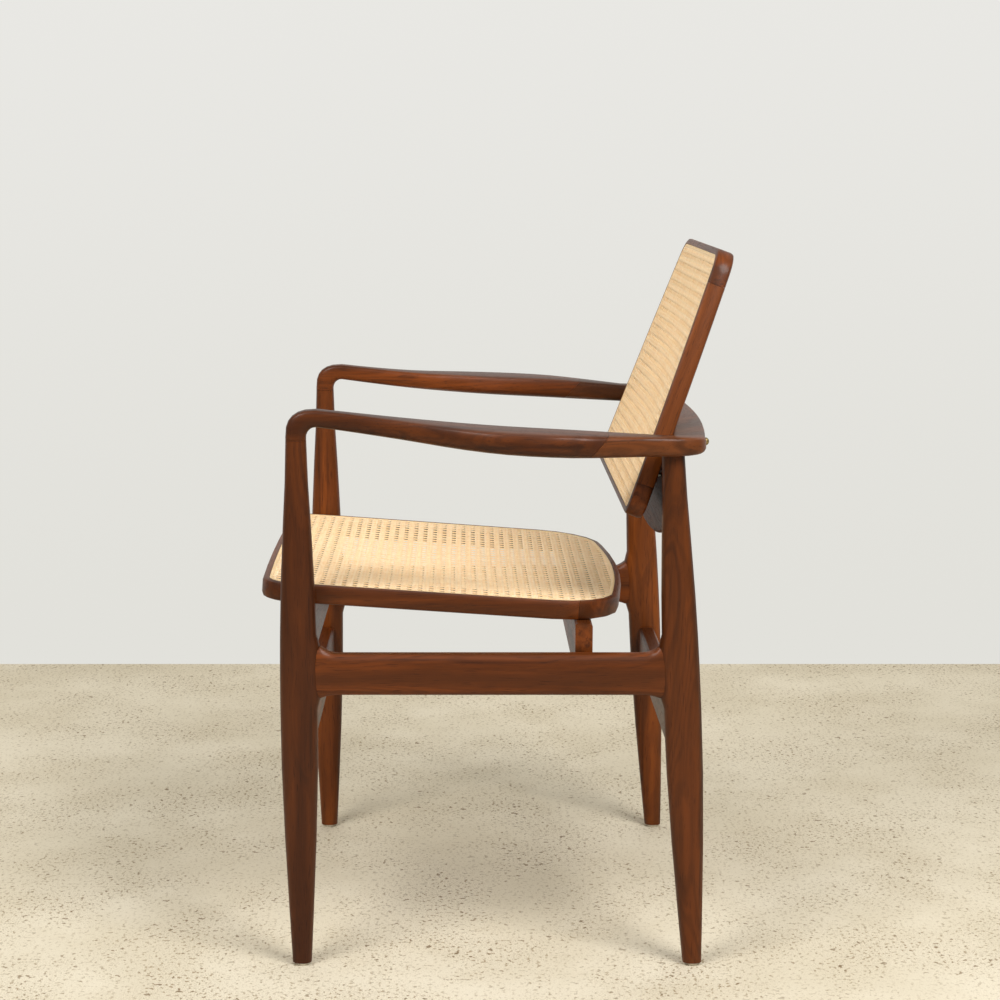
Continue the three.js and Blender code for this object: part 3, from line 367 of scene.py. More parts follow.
# The height of the weave's middle over the panel's face, and how far a strand rises and falls from it.
STRAND_LEVEL = -0.9 * MM
WEAVE_RISE = 0.28 * MM
DIAGONAL_RISE = 0.5 * MM
# The section's points: across in strand widths, and up in strand thicknesses.
SECTION_SHARES = np.array([[-0.5, -0.36], [-0.32, 0.3], [0, 0.5], [0.32, 0.3], [0.5, -0.36]])
SECTION_SIDES = len(SECTION_SHARES)

print("two pairs leave", round((PITCH - PAIR_SPREAD - STRAND_WIDTH) / MM, 1), "mm between them")

# %% [markdown]
# A strand ends under the spline. A boolean cut of so many strands would be slow and leave ragged ends, so
# each strand's line is cut where it meets a loop under the spline: its samples are clipped to that stretch,
# and only the faces between two different samples are kept.

# %% Cut the strands at the spline
NEARLY_ZERO = 1e-12


def reach_inside(loop, start, direction):
    """Where straight lines enter and leave a convex loop. A line, start + t direction, crosses an edge's
    line at t, and the hit counts when it falls between the edge's two ends."""
    edge = (np.roll(loop, -1, 0) - loop)[None, :, :]
    gap = loop[None, :, :] - start[:, None, :]
    cross = direction[0] * edge[..., 1] - direction[1] * edge[..., 0]
    cross = np.where(np.abs(cross) < NEARLY_ZERO, NEARLY_ZERO, cross)
    t = (gap[..., 0] * edge[..., 1] - gap[..., 1] * edge[..., 0]) / cross
    share = (gap[..., 0] * direction[1] - gap[..., 1] * direction[0]) / cross
    hit = (share >= 0) & (share <= 1)
    return np.where(hit, t, np.inf).min(1), np.where(hit, t, -np.inf).max(1)


def ribbon_points(panel, start, direction, t, width, rise):
    """A section at each sample: across is at right angles to the strand, and the height is the weave's
    level plus its rise, less the dip."""
    sideways = np.array([-direction[1], direction[0]])
    middle = start[:, None, :] + t[..., None] * direction
    across = SECTION_SHARES[:, 0] * width
    flat = middle[:, :, None, :] + across[:, None] * sideways
    level = STRAND_LEVEL + rise - dip(middle[..., 0], middle[..., 1], panel)
    z = level[:, :, None] + SECTION_SHARES[:, 1] * STRAND_THICKNESS
    return np.concatenate([flat, z[..., None]], -1)


def ribbon_faces(drawn):
    """Four-cornered faces along each drawn stretch, and a five-cornered face at both ends."""
    samples = drawn.shape[1] + 1
    strand, step = np.nonzero(drawn)
    near = ((strand * samples + step) * SECTION_SIDES)[:, None]
    far = near + SECTION_SIDES
    side = np.arange(SECTION_SIDES)
    after = (side + 1) % SECTION_SIDES
    sides = np.stack([near + side, near + after, far + after, far + side], -1).reshape(-1, 4)
    rows = np.arange(len(drawn)) * samples
    first = (rows + drawn.argmax(1))[:, None] * SECTION_SIDES
    last = (rows + samples - 1 - drawn[:, ::-1].argmax(1))[:, None] * SECTION_SIDES
    return sides, np.concatenate([first + side[::-1], last + side])


print("a section has", SECTION_SIDES, "sides")

# %% [markdown]
# The four directions differ only in where their lines start, which way they run, and how they rise and
# fall. Four functions could draw them, but each direction is a small record of those things instead, so one
# function can draw them all.

# %% The four directions
ROOT_HALF = math.sqrt(0.5)


def wave(t, phase, stations, period):
    """Straight runs between a few heights, each at its own distance, repeated every period."""
    at, heights = zip(*sorted(stations))
    return np.interp((t - phase) % period, at, heights, period=period)


def pairs(low, high):
    """Two strands for each pitch, a spread apart, from the first multiple of the pitch below low."""
    middle = np.arange(math.floor(low / PITCH), math.ceil(high / PITCH) + 1) * PITCH
    return np.stack([middle - PAIR_SPREAD / 2, middle + PAIR_SPREAD / 2], 1).ravel()


def straight_family(own, crossed, direction, first_rise):
    """Strands at own, with a sample at every strand they cross and one in the middle of each hole. A strand
    is down at one strand of a crossed pair and up at the other, and its neighbour does the opposite."""
    holes = (crossed[1:-1:2] + crossed[2::2]) / 2
    sign = np.where(np.arange(len(own)) % 2 == 0, first_rise, -first_rise)[:, None]
    stations = [(PAIR_SPREAD / 2, 1), (PITCH / 2, 0), (PITCH - PAIR_SPREAD / 2, -1)]
    return {
        "start": np.outer(own, [abs(direction[1]), abs(direction[0])]),
        "direction": np.array(direction, float),
        "samples": np.sort(np.concatenate([crossed, holes])),
        "width": STRAND_WIDTH,
        "rise": WEAVE_RISE * sign,
        "wave": (0, stations, PITCH),
    }


def diagonal_family(slope, reach):
    """Strands at 45 degrees that start half a pitch beside the pairs. With slope 1 a strand is up at the
    upright pairs and down at the cross pairs, half a period on. With slope -1 it is the other way round.
    The third station adds a sample half way between."""
    period = PITCH / ROOT_HALF
    phase = -slope * period / 2
    stations = [(0, slope), (period / 2, -slope), (period * (2 + slope) / 4, 0)]
    count = math.ceil(reach / PITCH)
    columns = np.arange(-count, count + 1) * PITCH + slope * PITCH / 2
    turns = np.arange(-count, count + 1) * period + phase
    return {
        "start": np.stack([columns, np.zeros_like(columns)], 1),
        "direction": np.array([ROOT_HALF, slope * ROOT_HALF]),
        "samples": np.sort(np.concatenate([turns + at for at, _ in stations])),
        "width": DIAGONAL_WIDTH,
        "rise": np.full((len(columns), 1), DIAGONAL_RISE),
        "wave": (phase, stations, period),
    }


print("a diagonal goes up and down every", round(PITCH / ROOT_HALF / MM, 1), "mm")

# %% [markdown]
# Cut cane differs a little in colour from strip to strip, and has lines along it. Separate objects could
# each have a random colour, but several hundred objects are slow to handle. So each panel's strands become
# two meshes, and every point keeps two facts for the material: where it lies along and across its strand,
# and its strand's own number.

# %% The strands of one direction
# A strand that would be shorter than this many of its widths is left out.
SHORTEST_WIDTHS = 2


def strands(panel, loop, family, random):
    """One direction's points, their marks and tones, and its faces, cut to the loop."""
    enter, leave = reach_inside(loop, family["start"], family["direction"])
    kept = leave - enter > SHORTEST_WIDTHS * family["width"]
    enter, leave = enter[kept, None], leave[kept, None]
    samples = family["samples"][None, :]
    t = np.clip(samples, enter, leave)
    rise = family["rise"][kept] * wave(t, *family["wave"])
    grid = ribbon_points(panel, family["start"][kept], family["direction"], t, family["width"], rise)
    sides, ends = ribbon_faces((samples[:, 1:] > enter) & (samples[:, :-1] < leave))
    own = random.random(len(grid))[:, None, None]
    across = SECTION_SHARES[:, 0] * family["width"] + own
    across, distance, tone = np.broadcast_arrays(across, t[..., None], own)
    marks = np.stack([across, distance, np.zeros_like(across)], -1)
    return grid.reshape(-1, 3), marks.reshape(-1, 3), tone.ravel(), sides, ends


print("the shortest strand is", round(SHORTEST_WIDTHS * STRAND_WIDTH / MM, 1), "mm long")

# %% Weave the two panels
# The cane ends under the spline, this share of the spline's width inside the margin.
CANE_END_SHARE = 0.7


def weave(name, panel, loop, families, seed):
    """The strands of some directions as one mesh. Only the points that a face uses are kept."""
    random = np.random.default_rng(seed)
    drawn = [strands(panel, loop, family, random) for family in families]
    points, marks, tones, sides, ends = zip(*drawn)
    first = np.cumsum([0] + [len(own) for own in points[:-1]])
    sides = np.concatenate([own + start for own, start in zip(sides, first)])
    ends = np.concatenate([own + start for own, start in zip(ends, first)])
    used, index = np.unique(np.concatenate([sides.ravel(), ends.ravel()]), return_inverse=True)
    sides, ends = index[: sides.size].reshape(-1, 4), index[sides.size :].reshape(-1, SECTION_SIDES)
    piece = make_piece(name, carried(np.concatenate(points)[used], panel["place"]), sides, ends)
    point_values(piece, "along_strand", np.concatenate(marks)[used])
    point_values(piece, "strand_tone", np.concatenate(tones)[used])
    print(name, len(piece.data.polygons), "faces")
    return piece


def cane(name, panel, seed):
    """The straight pairs as one piece and the diagonals as another."""
    loop = outline(panel["corners"], CANE_MARGIN + SPLINE_WIDTH * CANE_END_SHARE)
    left, low = loop.min(0)
    right, high = loop.max(0)
    columns = pairs(left, right)
    rows = pairs(low, high)
    upright = straight_family(columns, rows, direction=(0, 1), first_rise=1)
    level = straight_family(rows, columns, direction=(1, 0), first_rise=-1)
    # Far enough for the diagonals to cover the panel from corner to corner.
    reach = 2 * (right + high)
    diagonal = [diagonal_family(1, reach), diagonal_family(-1, reach)]
    cane_pairs = weave(f"{name}_pairs", panel, loop, [upright, level], seed)
    cane_diagonals = weave(f"{name}_diagonals", panel, loop, diagonal, seed + 1)
    return cane_pairs, cane_diagonals


seat_cane_pairs, seat_cane_diagonals = cane("seat_cane", seat_panel, seed=11)
back_cane_pairs, back_cane_diagonals = cane("back_cane", back_panel, seed=21)

# %% [markdown]
# ## Smooth shading on the CAD parts
#
# The CAD parts are loose triangles with a flat normal each. Edges could be marked sharp in their meshes, but
# the shapes are right and stay as they are. So each part gets a small node modifier: it joins the triangles'
# corners, drops the stored normals, and keeps an edge sharp only where two faces meet at more than a set
# angle.

# %% A modifier that smooths by angle
SHARP_ANGLE = math.radians(33)
MERGE_DISTANCE = 0.002 * MM


def link(tree, *joints):
    """Joins outputs to inputs, two sockets at a time."""
    for out, into in joints:
        tree.links.new(out, into)


def smooth_by_angle():
    """Node modifier: merge by distance, then sharp edges wherever the face angle is above the limit."""
    tree = bpy.data.node_groups.new("smooth_by_angle", "GeometryNodeTree")
    tree.interface.new_socket("Geometry", in_out="INPUT", socket_type="NodeSocketGeometry")
    tree.interface.new_socket("Geometry", in_out="OUTPUT", socket_type="NodeSocketGeometry")
    add = tree.nodes.new
    start, end = add("NodeGroupInput"), add("NodeGroupOutput")
    merge = add("GeometryNodeMergeByDistance")
    merge.inputs["Distance"].default_value = MERGE_DISTANCE
    angle = add("GeometryNodeInputMeshEdgeAngle")
    sharp = add("FunctionNodeCompare")
    sharp.operation = "GREATER_THAN"
    sharp.inputs["B"].default_value = SHARP_ANGLE
    normals = add("GeometryNodeSetMeshNormal")
    normals.inputs["Remove Custom"].default_value = True
    link(
        tree,
        (start.outputs[0], merge.inputs["Geometry"]),
        (merge.outputs["Geometry"], normals.inputs["Mesh"]),
        (angle.outputs["Unsigned Angle"], sharp.inputs["A"]),
        (sharp.outputs["Result"], normals.inputs["Edge Sharpness"]),
        (normals.outputs[0], end.inputs[0]),
    )
    return tree


smoothing = smooth_by_angle()
for node in nodes.values():
    node.modifiers.new("smooth_by_angle", "NODES").node_group = smoothing
print("smoothed", len(nodes), "CAD parts")

# %% [markdown]
# ## Building materials from nodes
#
# A material is a tree of nodes. Placing and joining every node by hand in code is long and hard to read, so
# a few helpers each stand for one idea: noise, a mask cut from it, a product, a blend of two colours, and
# tints laid one over another. What more than one material uses becomes a group with named sockets.

# %% A group with named sockets


def new_group(name, inputs, outputs):
    """A shader node group with named sockets. Each entry is a name, a socket type and a value or None."""
    tree = bpy.data.node_groups.new(name, "ShaderNodeTree")
    for in_out, entries in (("INPUT", inputs), ("OUTPUT", outputs)):
        for title, kind, value in entries:
            socket = tree.interface.new_socket(title, in_out=in_out, socket_type=f"NodeSocket{kind}")
            if value is not None:
                socket.default_value = value
    return tree, tree.nodes.new("NodeGroupInput").outputs, tree.nodes.new("NodeGroupOutput").inputs


print("node groups so far", len(bpy.data.node_groups))

# %% Noise, masks and sums


def noise(tree, vector, stretch, scale, detail=2.0, roughness=0.5):
    """Noise on a vector that is squeezed by stretch, so its blotches grow long where stretch is small."""
    squeeze = tree.nodes.new("ShaderNodeVectorMath")
    squeeze.operation = "MULTIPLY"
    squeeze.inputs[1].default_value = stretch
    texture = tree.nodes.new("ShaderNodeTexNoise")
    texture.inputs["Scale"].default_value = scale
    texture.inputs["Detail"].default_value = detail
    texture.inputs["Roughness"].default_value = roughness
    link(tree, (vector, squeeze.inputs[0]), (squeeze.outputs[0], texture.inputs["Vector"]))
    return texture.outputs["Fac"]


def remap(tree, value, low, high, to_low=0.0, to_high=1.0):
    """Low and high of the value become to_low and to_high, with a smooth start and end."""
    node = tree.nodes.new("ShaderNodeMapRange")
    node.interpolation_type = "SMOOTHSTEP"
    node.inputs["From Min"].default_value = low
    node.inputs["From Max"].default_value = high
    node.inputs["To Min"].default_value = to_low
    node.inputs["To Max"].default_value = to_high
    link(tree, (value, node.inputs["Value"]))
    return node.outputs["Result"]


def maths(tree, operation, first, second=None):
    """One arithmetic step. Each side is a socket or a number."""
    node = tree.nodes.new("ShaderNodeMath")
    node.operation = operation
    for i, value in enumerate((first, second)):
        if isinstance(value, bpy.types.NodeSocket):
            link(tree, (value, node.inputs[i]))
        elif value is not None:
            node.inputs[i].default_value = value
    return node.outputs[0]


def product(tree, first, *others):
    """The values multiplied together."""
    for other in others:
        first = maths(tree, "MULTIPLY", first, other)
    return first


print("a product of three values takes two nodes")

# %% Colours and tints


def blend_colour(tree, factor, first, second):
    """Mixes two colours by a factor. Each of the three is a socket or a plain value."""
    node = tree.nodes.new("ShaderNodeMix")
    node.data_type = "RGBA"
    for name, value in (("Factor_Float", factor), ("A_Color", first), ("B_Color", second)):
        socket = next(s for s in node.inputs if s.identifier == name)
        if isinstance(value, bpy.types.NodeSocket):
            link(tree, (value, socket))
        else:
            socket.default_value = value
    return next(s for s in node.outputs if s.identifier == "Result_Color")


def tinted(tree, ground, layers):
    """Lays tints over a ground, one after another, each as strong as its mask times its strength."""
    for mask, strength, tint in layers:
        ground = blend_colour(tree, product(tree, mask, strength), ground, tint)
    return ground


def colour(red, green, blue):
    """A screen colour, 0 to 255, as the linear and opaque colour that a shader wants."""
    values = np.array([red, green, blue]) / 255
    linear = np.where(values <= 0.04045, values / 12.92, ((values + 0.055) / 1.055) ** 2.4)
    return (*linear.tolist(), 1)


print("middle brown", colour(104, 58, 28))

# %% [markdown]
# ## The figure of the wood
#
# The chair is made of a dark reddish-brown hardwood with blackish streaks. A picture of a board would have
# seams and a fixed scale, so the figure is worked out from noise, in layers that are all long along the
# grain: broad bands, growth lines that bend like contours, some of them inked dark, blackish streaks, fine
# fibres, and short open pores, which are darker and duller. One node group holds them all.

# %% The figure of the wood
STREAK_TINT = (30, 13, 6)
# How dark the inked growth lines are, unless a material says otherwise.
USUAL_CONTOURS = 0.4
# Slow noise pushes the grain sideways by up to this much, so that no line is quite straight.
GRAIN_WANDER = 12 * MM
# Growth lines are the ripples of a sine over slow noise. The noise times this is the sine's angle.
LINE_RADIANS = 120
INK_RADIANS = 52


def wood_figure_group():
    """Colour, roughness and height of dark hardwood whose grain runs along Z."""
    inputs = [
        ("Vector", "Vector", None),
        ("Warm", "Color", None),
        ("Deep", "Color", None),
        ("Streak", "Color", colour(*STREAK_TINT)),
        ("Contours", "Float", USUAL_CONTOURS),
    ]
    outputs = [("Colour", "Color", None), ("Roughness", "Float", None), ("Height", "Float", None)]
    tree, given, result = new_group("wood_figure", inputs, outputs)
    wander = noise(tree, given["Vector"], (1, 1, 0.35), scale=9, detail=1)
    pushed = tree.nodes.new("ShaderNodeVectorMath")
    pushed.operation = "MULTIPLY_ADD"
    pushed.inputs[1].default_value = (GRAIN_WANDER, GRAIN_WANDER, 0)
    link(tree, (wander, pushed.inputs[0]), (given["Vector"], pushed.inputs[2]))

    def grain(along, scale, detail=2, roughness=0.5):
        """Noise on the wandering grain, squeezed to a share of itself along it."""
        return noise(tree, pushed.outputs[0], (1, 1, along), scale, detail, roughness)

    rings = grain(along=0.16, scale=18, roughness=0.4)
    fibre = grain(along=0.012, scale=1500, roughness=0.6)
    bands = remap(tree, grain(along=0.05, scale=42, detail=3), low=0.36, high=0.66)
    lines = remap(tree, maths(tree, "SINE", product(tree, rings, LINE_RADIANS)), low=-0.3, high=1)
    inked = remap(tree, maths(tree, "SINE", product(tree, rings, INK_RADIANS)), low=0.55, high=0.95)
    where = remap(tree, grain(along=0.12, scale=17), low=0.46, high=0.58)
    streaks = remap(tree, grain(along=0.035, scale=85, detail=3, roughness=0.55), low=0.57, high=0.7)
    pores = remap(tree, grain(along=0.045, scale=1050, detail=1), low=0.62, high=0.72)
    contours = product(tree, inked, where, given["Contours"])
    dark = maths(tree, "MAXIMUM", contours, product(tree, streaks, 0.75))
    layers = (
        (lines, 0.4, given["Deep"]),
        (dark, 0.85, given["Streak"]),
        (remap(tree, fibre, low=0.3, high=0.7), 0.22, given["Warm"]),
        (pores, 0.55, given["Streak"]),
    )
    satin = remap(tree, fibre, low=0.3, high=0.7, to_low=0.4, to_high=0.5)
    roughness = maths(tree, "ADD", satin, product(tree, pores, 0.2))
    height = maths(tree, "SUBTRACT", product(tree, fibre, 0.35), pores)
    ground = blend_colour(tree, bands, given["Deep"], given["Warm"])
    link(
        tree,
        (tinted(tree, ground, layers), result["Colour"]),
        (roughness, result["Roughness"]),
        (height, result["Height"]),
    )
    return tree


wood_figure = wood_figure_group()
print(wood_figure.name, len(wood_figure.nodes), "nodes")

# %% [markdown]
# ## Laying the grain along each piece
#
# A maker saws a leg, an arm and a rail from boards laid in different directions, so the grain always runs
# along the piece. Each piece could have a UV map for this, but the CAD parts have none. Their object
# coordinates are turned instead, and for the bowed back rail they are bent round a middle in front of it.

# %% Where the grain runs
QUARTER = math.pi / 2
UPRIGHT = (0, 0, 0)
FRONT_TO_BACK = (QUARTER, 0, 0)
SIDE_TO_SIDE = (0, -QUARTER, 0)
STILE_TAPER = math.atan((BACK_BOTTOM_HALF - BACK_TOP_HALF) / BACK_HEIGHT)
BEND_MIDDLE_Y = 40 * MM
BEND_RADIUS = 240 * MM


def turned_grain(tree, turn):
    """Object coordinates turned so that Z runs along a straight piece."""
    place = tree.nodes.new("ShaderNodeTexCoord")
    mapping = tree.nodes.new("ShaderNodeMapping")
    mapping.inputs["Rotation"].default_value = turn
    link(tree, (place.outputs["Object"], mapping.inputs["Vector"]))
    return mapping.outputs["Vector"]


def bent_grain(tree):
    """Coordinates for a bowed piece: Z is the angle about the bend's middle times its radius, so the grain
    follows the bend, and X is the distance from the middle."""
    place = tree.nodes.new("ShaderNodeTexCoord")
    apart, joined = tree.nodes.new("ShaderNodeSeparateXYZ"), tree.nodes.new("ShaderNodeCombineXYZ")
    link(tree, (place.outputs["Object"], apart.inputs["Vector"]))
    beside = apart.outputs["X"]
    behind = maths(tree, "SUBTRACT", apart.outputs["Y"], BEND_MIDDLE_Y)
    angle = maths(tree, "ARCTAN2", beside, behind)
    square = maths(tree, "ADD", product(tree, beside, beside), product(tree, behind, behind))
    link(
        tree,
        (maths(tree, "SQRT", square), joined.inputs["X"]),
        (apart.outputs["Z"], joined.inputs["Y"]),
        (product(tree, angle, BEND_RADIUS), joined.inputs["Z"]),
    )
    return joined.outputs["Vector"]


print("the stiles taper by", round(math.degrees(STILE_TAPER), 1), "degrees")

# %% [markdown]
# ## Wood under a satin varnish
#
# The pieces of one chair come from different boards: the arm and front leg are nearly black-brown, others
# are russet. One material could vary its colour by a random number for each object, but the colours are
# chosen here. The darker colours of the left legs and the left arm, on the camera's side, and of the apron
# under the back are painted shade. The warmer colour of the right legs is painted light. Each cut is the
# same figure with its own two colours and direction, under a thin coat of varnish that is the shader's own.

# %% A varnished board
VARNISH = 0.14
VARNISH_ROUGHNESS = 0.2


def new_material(name):
    """A node material with only a Principled BSDF and its output."""
    material = bpy.data.materials.new(name)
    material.use_nodes = True
    shader = material.node_tree.nodes["Principled BSDF"]
    return material, material.node_tree, shader


def add_bump(tree, shader, height, strength, distance):
    """A height in, a bent normal out."""
    bump = tree.nodes.new("ShaderNodeBump")
    bump.inputs["Strength"].default_value = strength
    bump.inputs["Distance"].default_value = distance
    link(tree, (height, bump.inputs["Height"]), (bump.outputs["Normal"], shader.inputs["Normal"]))


def wood(name, board, turn=None, contours=USUAL_CONTOURS, varnish=VARNISH):
    """The wood figure with its grain along a piece. No turn means that the grain is bent."""
    material, tree, shader = new_material(name)
    grain = bent_grain(tree) if turn is None else turned_grain(tree, turn)
    figure = tree.nodes.new("ShaderNodeGroup")
    figure.node_tree = wood_figure
    warm, deep = board
    figure.inputs["Warm"].default_value = colour(*warm)
    figure.inputs["Deep"].default_value = colour(*deep)
    figure.inputs["Contours"].default_value = contours
    shader.inputs["Specular IOR Level"].default_value = varnish
    shader.inputs["Coat Weight"].default_value = varnish
    shader.inputs["Coat Roughness"].default_value = VARNISH_ROUGHNESS
    link(
        tree,
        (grain, figure.inputs["Vector"]),
        (figure.outputs["Colour"], shader.inputs["Base Color"]),
        (figure.outputs["Roughness"], shader.inputs["Roughness"]),
    )
    add_bump(tree, shader, figure.outputs["Height"], strength=0.35, distance=0.15 * MM)
    return material


print("varnish", VARNISH)

# %% Eleven cuts of wood
# The warm and the deep colour of each board, from dark to light.
# The dark and the brown board are painted shade, on the camera's side and on the apron, and the warm board
# is painted light on the far legs.
shaded_dark_board = (86, 42, 13), (54, 24, 7)
shaded_brown_board = (94, 46, 14), (57, 27, 7)
dull_board = (98, 52, 22), (62, 32, 12)
plain_board = (110, 54, 17), (66, 31, 8)
lit_warm_board = (120, 61, 19), (77, 37, 10)
russet_board = (136, 72, 24), (88, 43, 13)
# The apron gets a dark board as painted shade and almost no varnish, so it shows no sheen, and the
# stretchers show their figure most.
LOW_VARNISH = 0.02
STRONG_CONTOURS = 0.95

# The left legs and the left arm take darker boards as painted shade, and the right legs take a warmer board
# as painted light.
front_leg_wood_shaded = wood("wood_front_leg_left_shaded", shaded_dark_board, UPRIGHT)
rear_leg_wood_shaded = wood("wood_rear_leg_left_shaded", shaded_brown_board, UPRIGHT)
right_leg_wood_lit = wood("wood_right_legs_lit", lit_warm_board, UPRIGHT)
left_arm_wood_shaded = wood("wood_arm_left_shaded", shaded_dark_board, FRONT_TO_BACK)
stretcher_wood = wood("wood_stretchers", plain_board, FRONT_TO_BACK, contours=STRONG_CONTOURS)
# The apron's dark board is painted shade, and its low varnish keeps it from shining.
apron_wood_shaded = wood("wood_back_apron_shaded", shaded_dark_board, SIDE_TO_SIDE, varnish=LOW_VARNISH)
lengthwise_wood = wood("wood_lengthwise", plain_board, FRONT_TO_BACK)
crosswise_wood = wood("wood_crosswise", plain_board, SIDE_TO_SIDE)
bent_wood = wood("wood_back_rail", dull_board)
left_stile_wood = wood("wood_left_stile", russet_board, (BACK_LEAN, STILE_TAPER, 0))
right_stile_wood = wood("wood_right_stile", russet_board, (BACK_LEAN, -STILE_TAPER, 0))
print(len([m for m in bpy.data.materials if m.name.startswith("wood_")]), "cuts of wood")

# %% [markdown]
# ## Cane and reed
#
# Cane is the bark of rattan, split into strips: honey coloured, a little different from strip to strip,
# with fine lines along it. Reed is the pith of the same plant, duller and more fibrous. A pattern on object
# coordinates would run straight through the weave, so both read the position that each point carries along
# its own strand. Light that enters a thin strip comes out close by, which a little subsurface gives.

# %% Plant fibre
CANE_TINTS = (252, 222, 184), (242, 202, 154), (194, 142, 96)
REED_TINTS = (238, 210, 166), (226, 192, 142), (188, 146, 98)
FIBRE_SUBSURFACE = 0.6
FIBRE_LIGHT_REACH = 1.2 * MM


def plant_fibre_group():
    """Colour, roughness and height of a split strip: fine lines along it, and slow changes of tone."""
    inputs = [
        ("Along", "Vector", None),
        ("Tone", "Float", 0.5),
        ("Pale", "Color", None),
        ("Golden", "Color", None),
        ("Brown", "Color", None),
    ]
    outputs = [("Colour", "Color", None), ("Roughness", "Float", None), ("Height", "Float", None)]
    tree, given, result = new_group("plant_fibre", inputs, outputs)
    slow = noise(tree, given["Along"], (30, 1, 1), scale=14)
    fine = noise(tree, given["Along"], (1, 0.012, 1), scale=5200, roughness=0.6)
    marks = noise(tree, given["Along"], (6, 1, 1), scale=55)
    layers = (
        (remap(tree, slow, low=0.35, high=0.7), 0.5, given["Golden"]),
        (remap(tree, fine, low=0.35, high=0.75), 0.22, given["Brown"]),
        (remap(tree, marks, low=0.64, high=0.76), 0.35, given["Brown"]),
    )
    ground = blend_colour(tree, given["Tone"], given["Pale"], given["Golden"])
    link(
        tree,
        (tinted(tree, ground, layers), result["Colour"]),
        (remap(tree, fine, low=0.3, high=0.7, to_low=0.42, to_high=0.6), result["Roughness"]),
        (fine, result["Height"]),
    )
    return tree


plant_fibre = plant_fibre_group()


def fibre_material(name, mark, tone, tints):
    """The fibre group on a piece's own position along its strand, with a pale, a golden and a brown tint."""
    material, tree, shader = new_material(name)
    along = tree.nodes.new("ShaderNodeAttribute")
    along.attribute_name = mark
    figure = tree.nodes.new("ShaderNodeGroup")
    figure.node_tree = plant_fibre
    for title, tint in zip(("Pale", "Golden", "Brown"), tints):
        figure.inputs[title].default_value = colour(*tint)
    if tone:
        own = tree.nodes.new("ShaderNodeAttribute")
        own.attribute_name = tone
        link(tree, (own.outputs["Fac"], figure.inputs["Tone"]))
    link(
        tree,
        (along.outputs["Vector"], figure.inputs["Along"]),
        (figure.outputs["Colour"], shader.inputs["Base Color"]),
        (figure.outputs["Roughness"], shader.inputs["Roughness"]),
    )
    shader.inputs["Subsurface Weight"].default_value = FIBRE_SUBSURFACE
    shader.inputs["Subsurface Radius"].default_value = (1, 1, 1)
    shader.inputs["Subsurface Scale"].default_value = FIBRE_LIGHT_REACH
    add_bump(tree, shader, figure.outputs["Height"], strength=0.4, distance=0.08 * MM)
    return material


cane_finish = fibre_material("cane_bark", "along_strand", "strand_tone", CANE_TINTS)
reed_finish = fibre_material("reed_pith", "along_reed", None, REED_TINTS)
print(cane_finish.name, "and", reed_finish.name)

# %% [markdown]
# ## Small fittings
#
# The feet stand on moulded nylon glides. Two brass screws with domed heads hold the back, and plain steel
# screws sit in their bores. One flat colour would look new and lifeless, because metal that has been
# handled is duller in patches and carries hairline scratches. The three finishes share that wear.

# %% Nylon, brass and steel
# A worn patch is this much rougher than a clean one.
WORN_ROUGHER = 0.2


def worn_surface_group():
    """A mask of dull patches and a height of hairline scratches."""
    inputs = [("Vector", "Vector", None)]
    outputs = [("Patches", "Float", None), ("Height", "Float", None)]
    tree, given, result = new_group("worn_surface", inputs, outputs)
    patches = noise(tree, given["Vector"], (1, 1, 1), scale=320, detail=3)
    scratches = noise(tree, given["Vector"], (1, 0.1, 1), scale=2600)
    link(
        tree,
        (remap(tree, patches, low=0.4, high=0.65), result["Patches"]),
        (scratches, result["Height"]),
    )
    return tree


worn_surface = worn_surface_group()


def fitting(name, clean, dull, roughness, metallic):
    """Clean and dull colour by the worn patches, rougher where dull."""
    material, tree, shader = new_material(name)
    place = tree.nodes.new("ShaderNodeTexCoord")
    worn = tree.nodes.new("ShaderNodeGroup")
    worn.node_tree = worn_surface
    patches = worn.outputs["Patches"]
    shader.inputs["Metallic"].default_value = metallic
    link(
        tree,
        (place.outputs["Object"], worn.inputs["Vector"]),
        (blend_colour(tree, patches, colour(*clean), colour(*dull)), shader.inputs["Base Color"]),
        (remap(tree, patches, 0, 1, roughness, roughness + WORN_ROUGHER), shader.inputs["Roughness"]),
    )
    add_bump(tree, shader, worn.outputs["Height"], strength=0.25, distance=0.05 * MM)
    return material


nylon = fitting("glide_nylon", (222, 216, 200), (196, 186, 164), roughness=0.4, metallic=0)
brass = fitting("aged_brass", (168, 148, 104), (116, 98, 62), roughness=0.36, metallic=1)
steel = fitting("plain_steel", (176, 176, 172), (128, 128, 124), roughness=0.35, metallic=1)
print(nylon.name, brass.name, steel.name)

# %% [markdown]
# ## Every piece gets its finish
#
# The finishes could be picked by hand in the editor, but a table says at a glance which cut of wood each
# part takes. A CAD part keeps its mesh, and only its material slot changes. The new pieces stand for the CAD
# nodes they cover, ride on the chair's one body, and name a slot beside their finish.

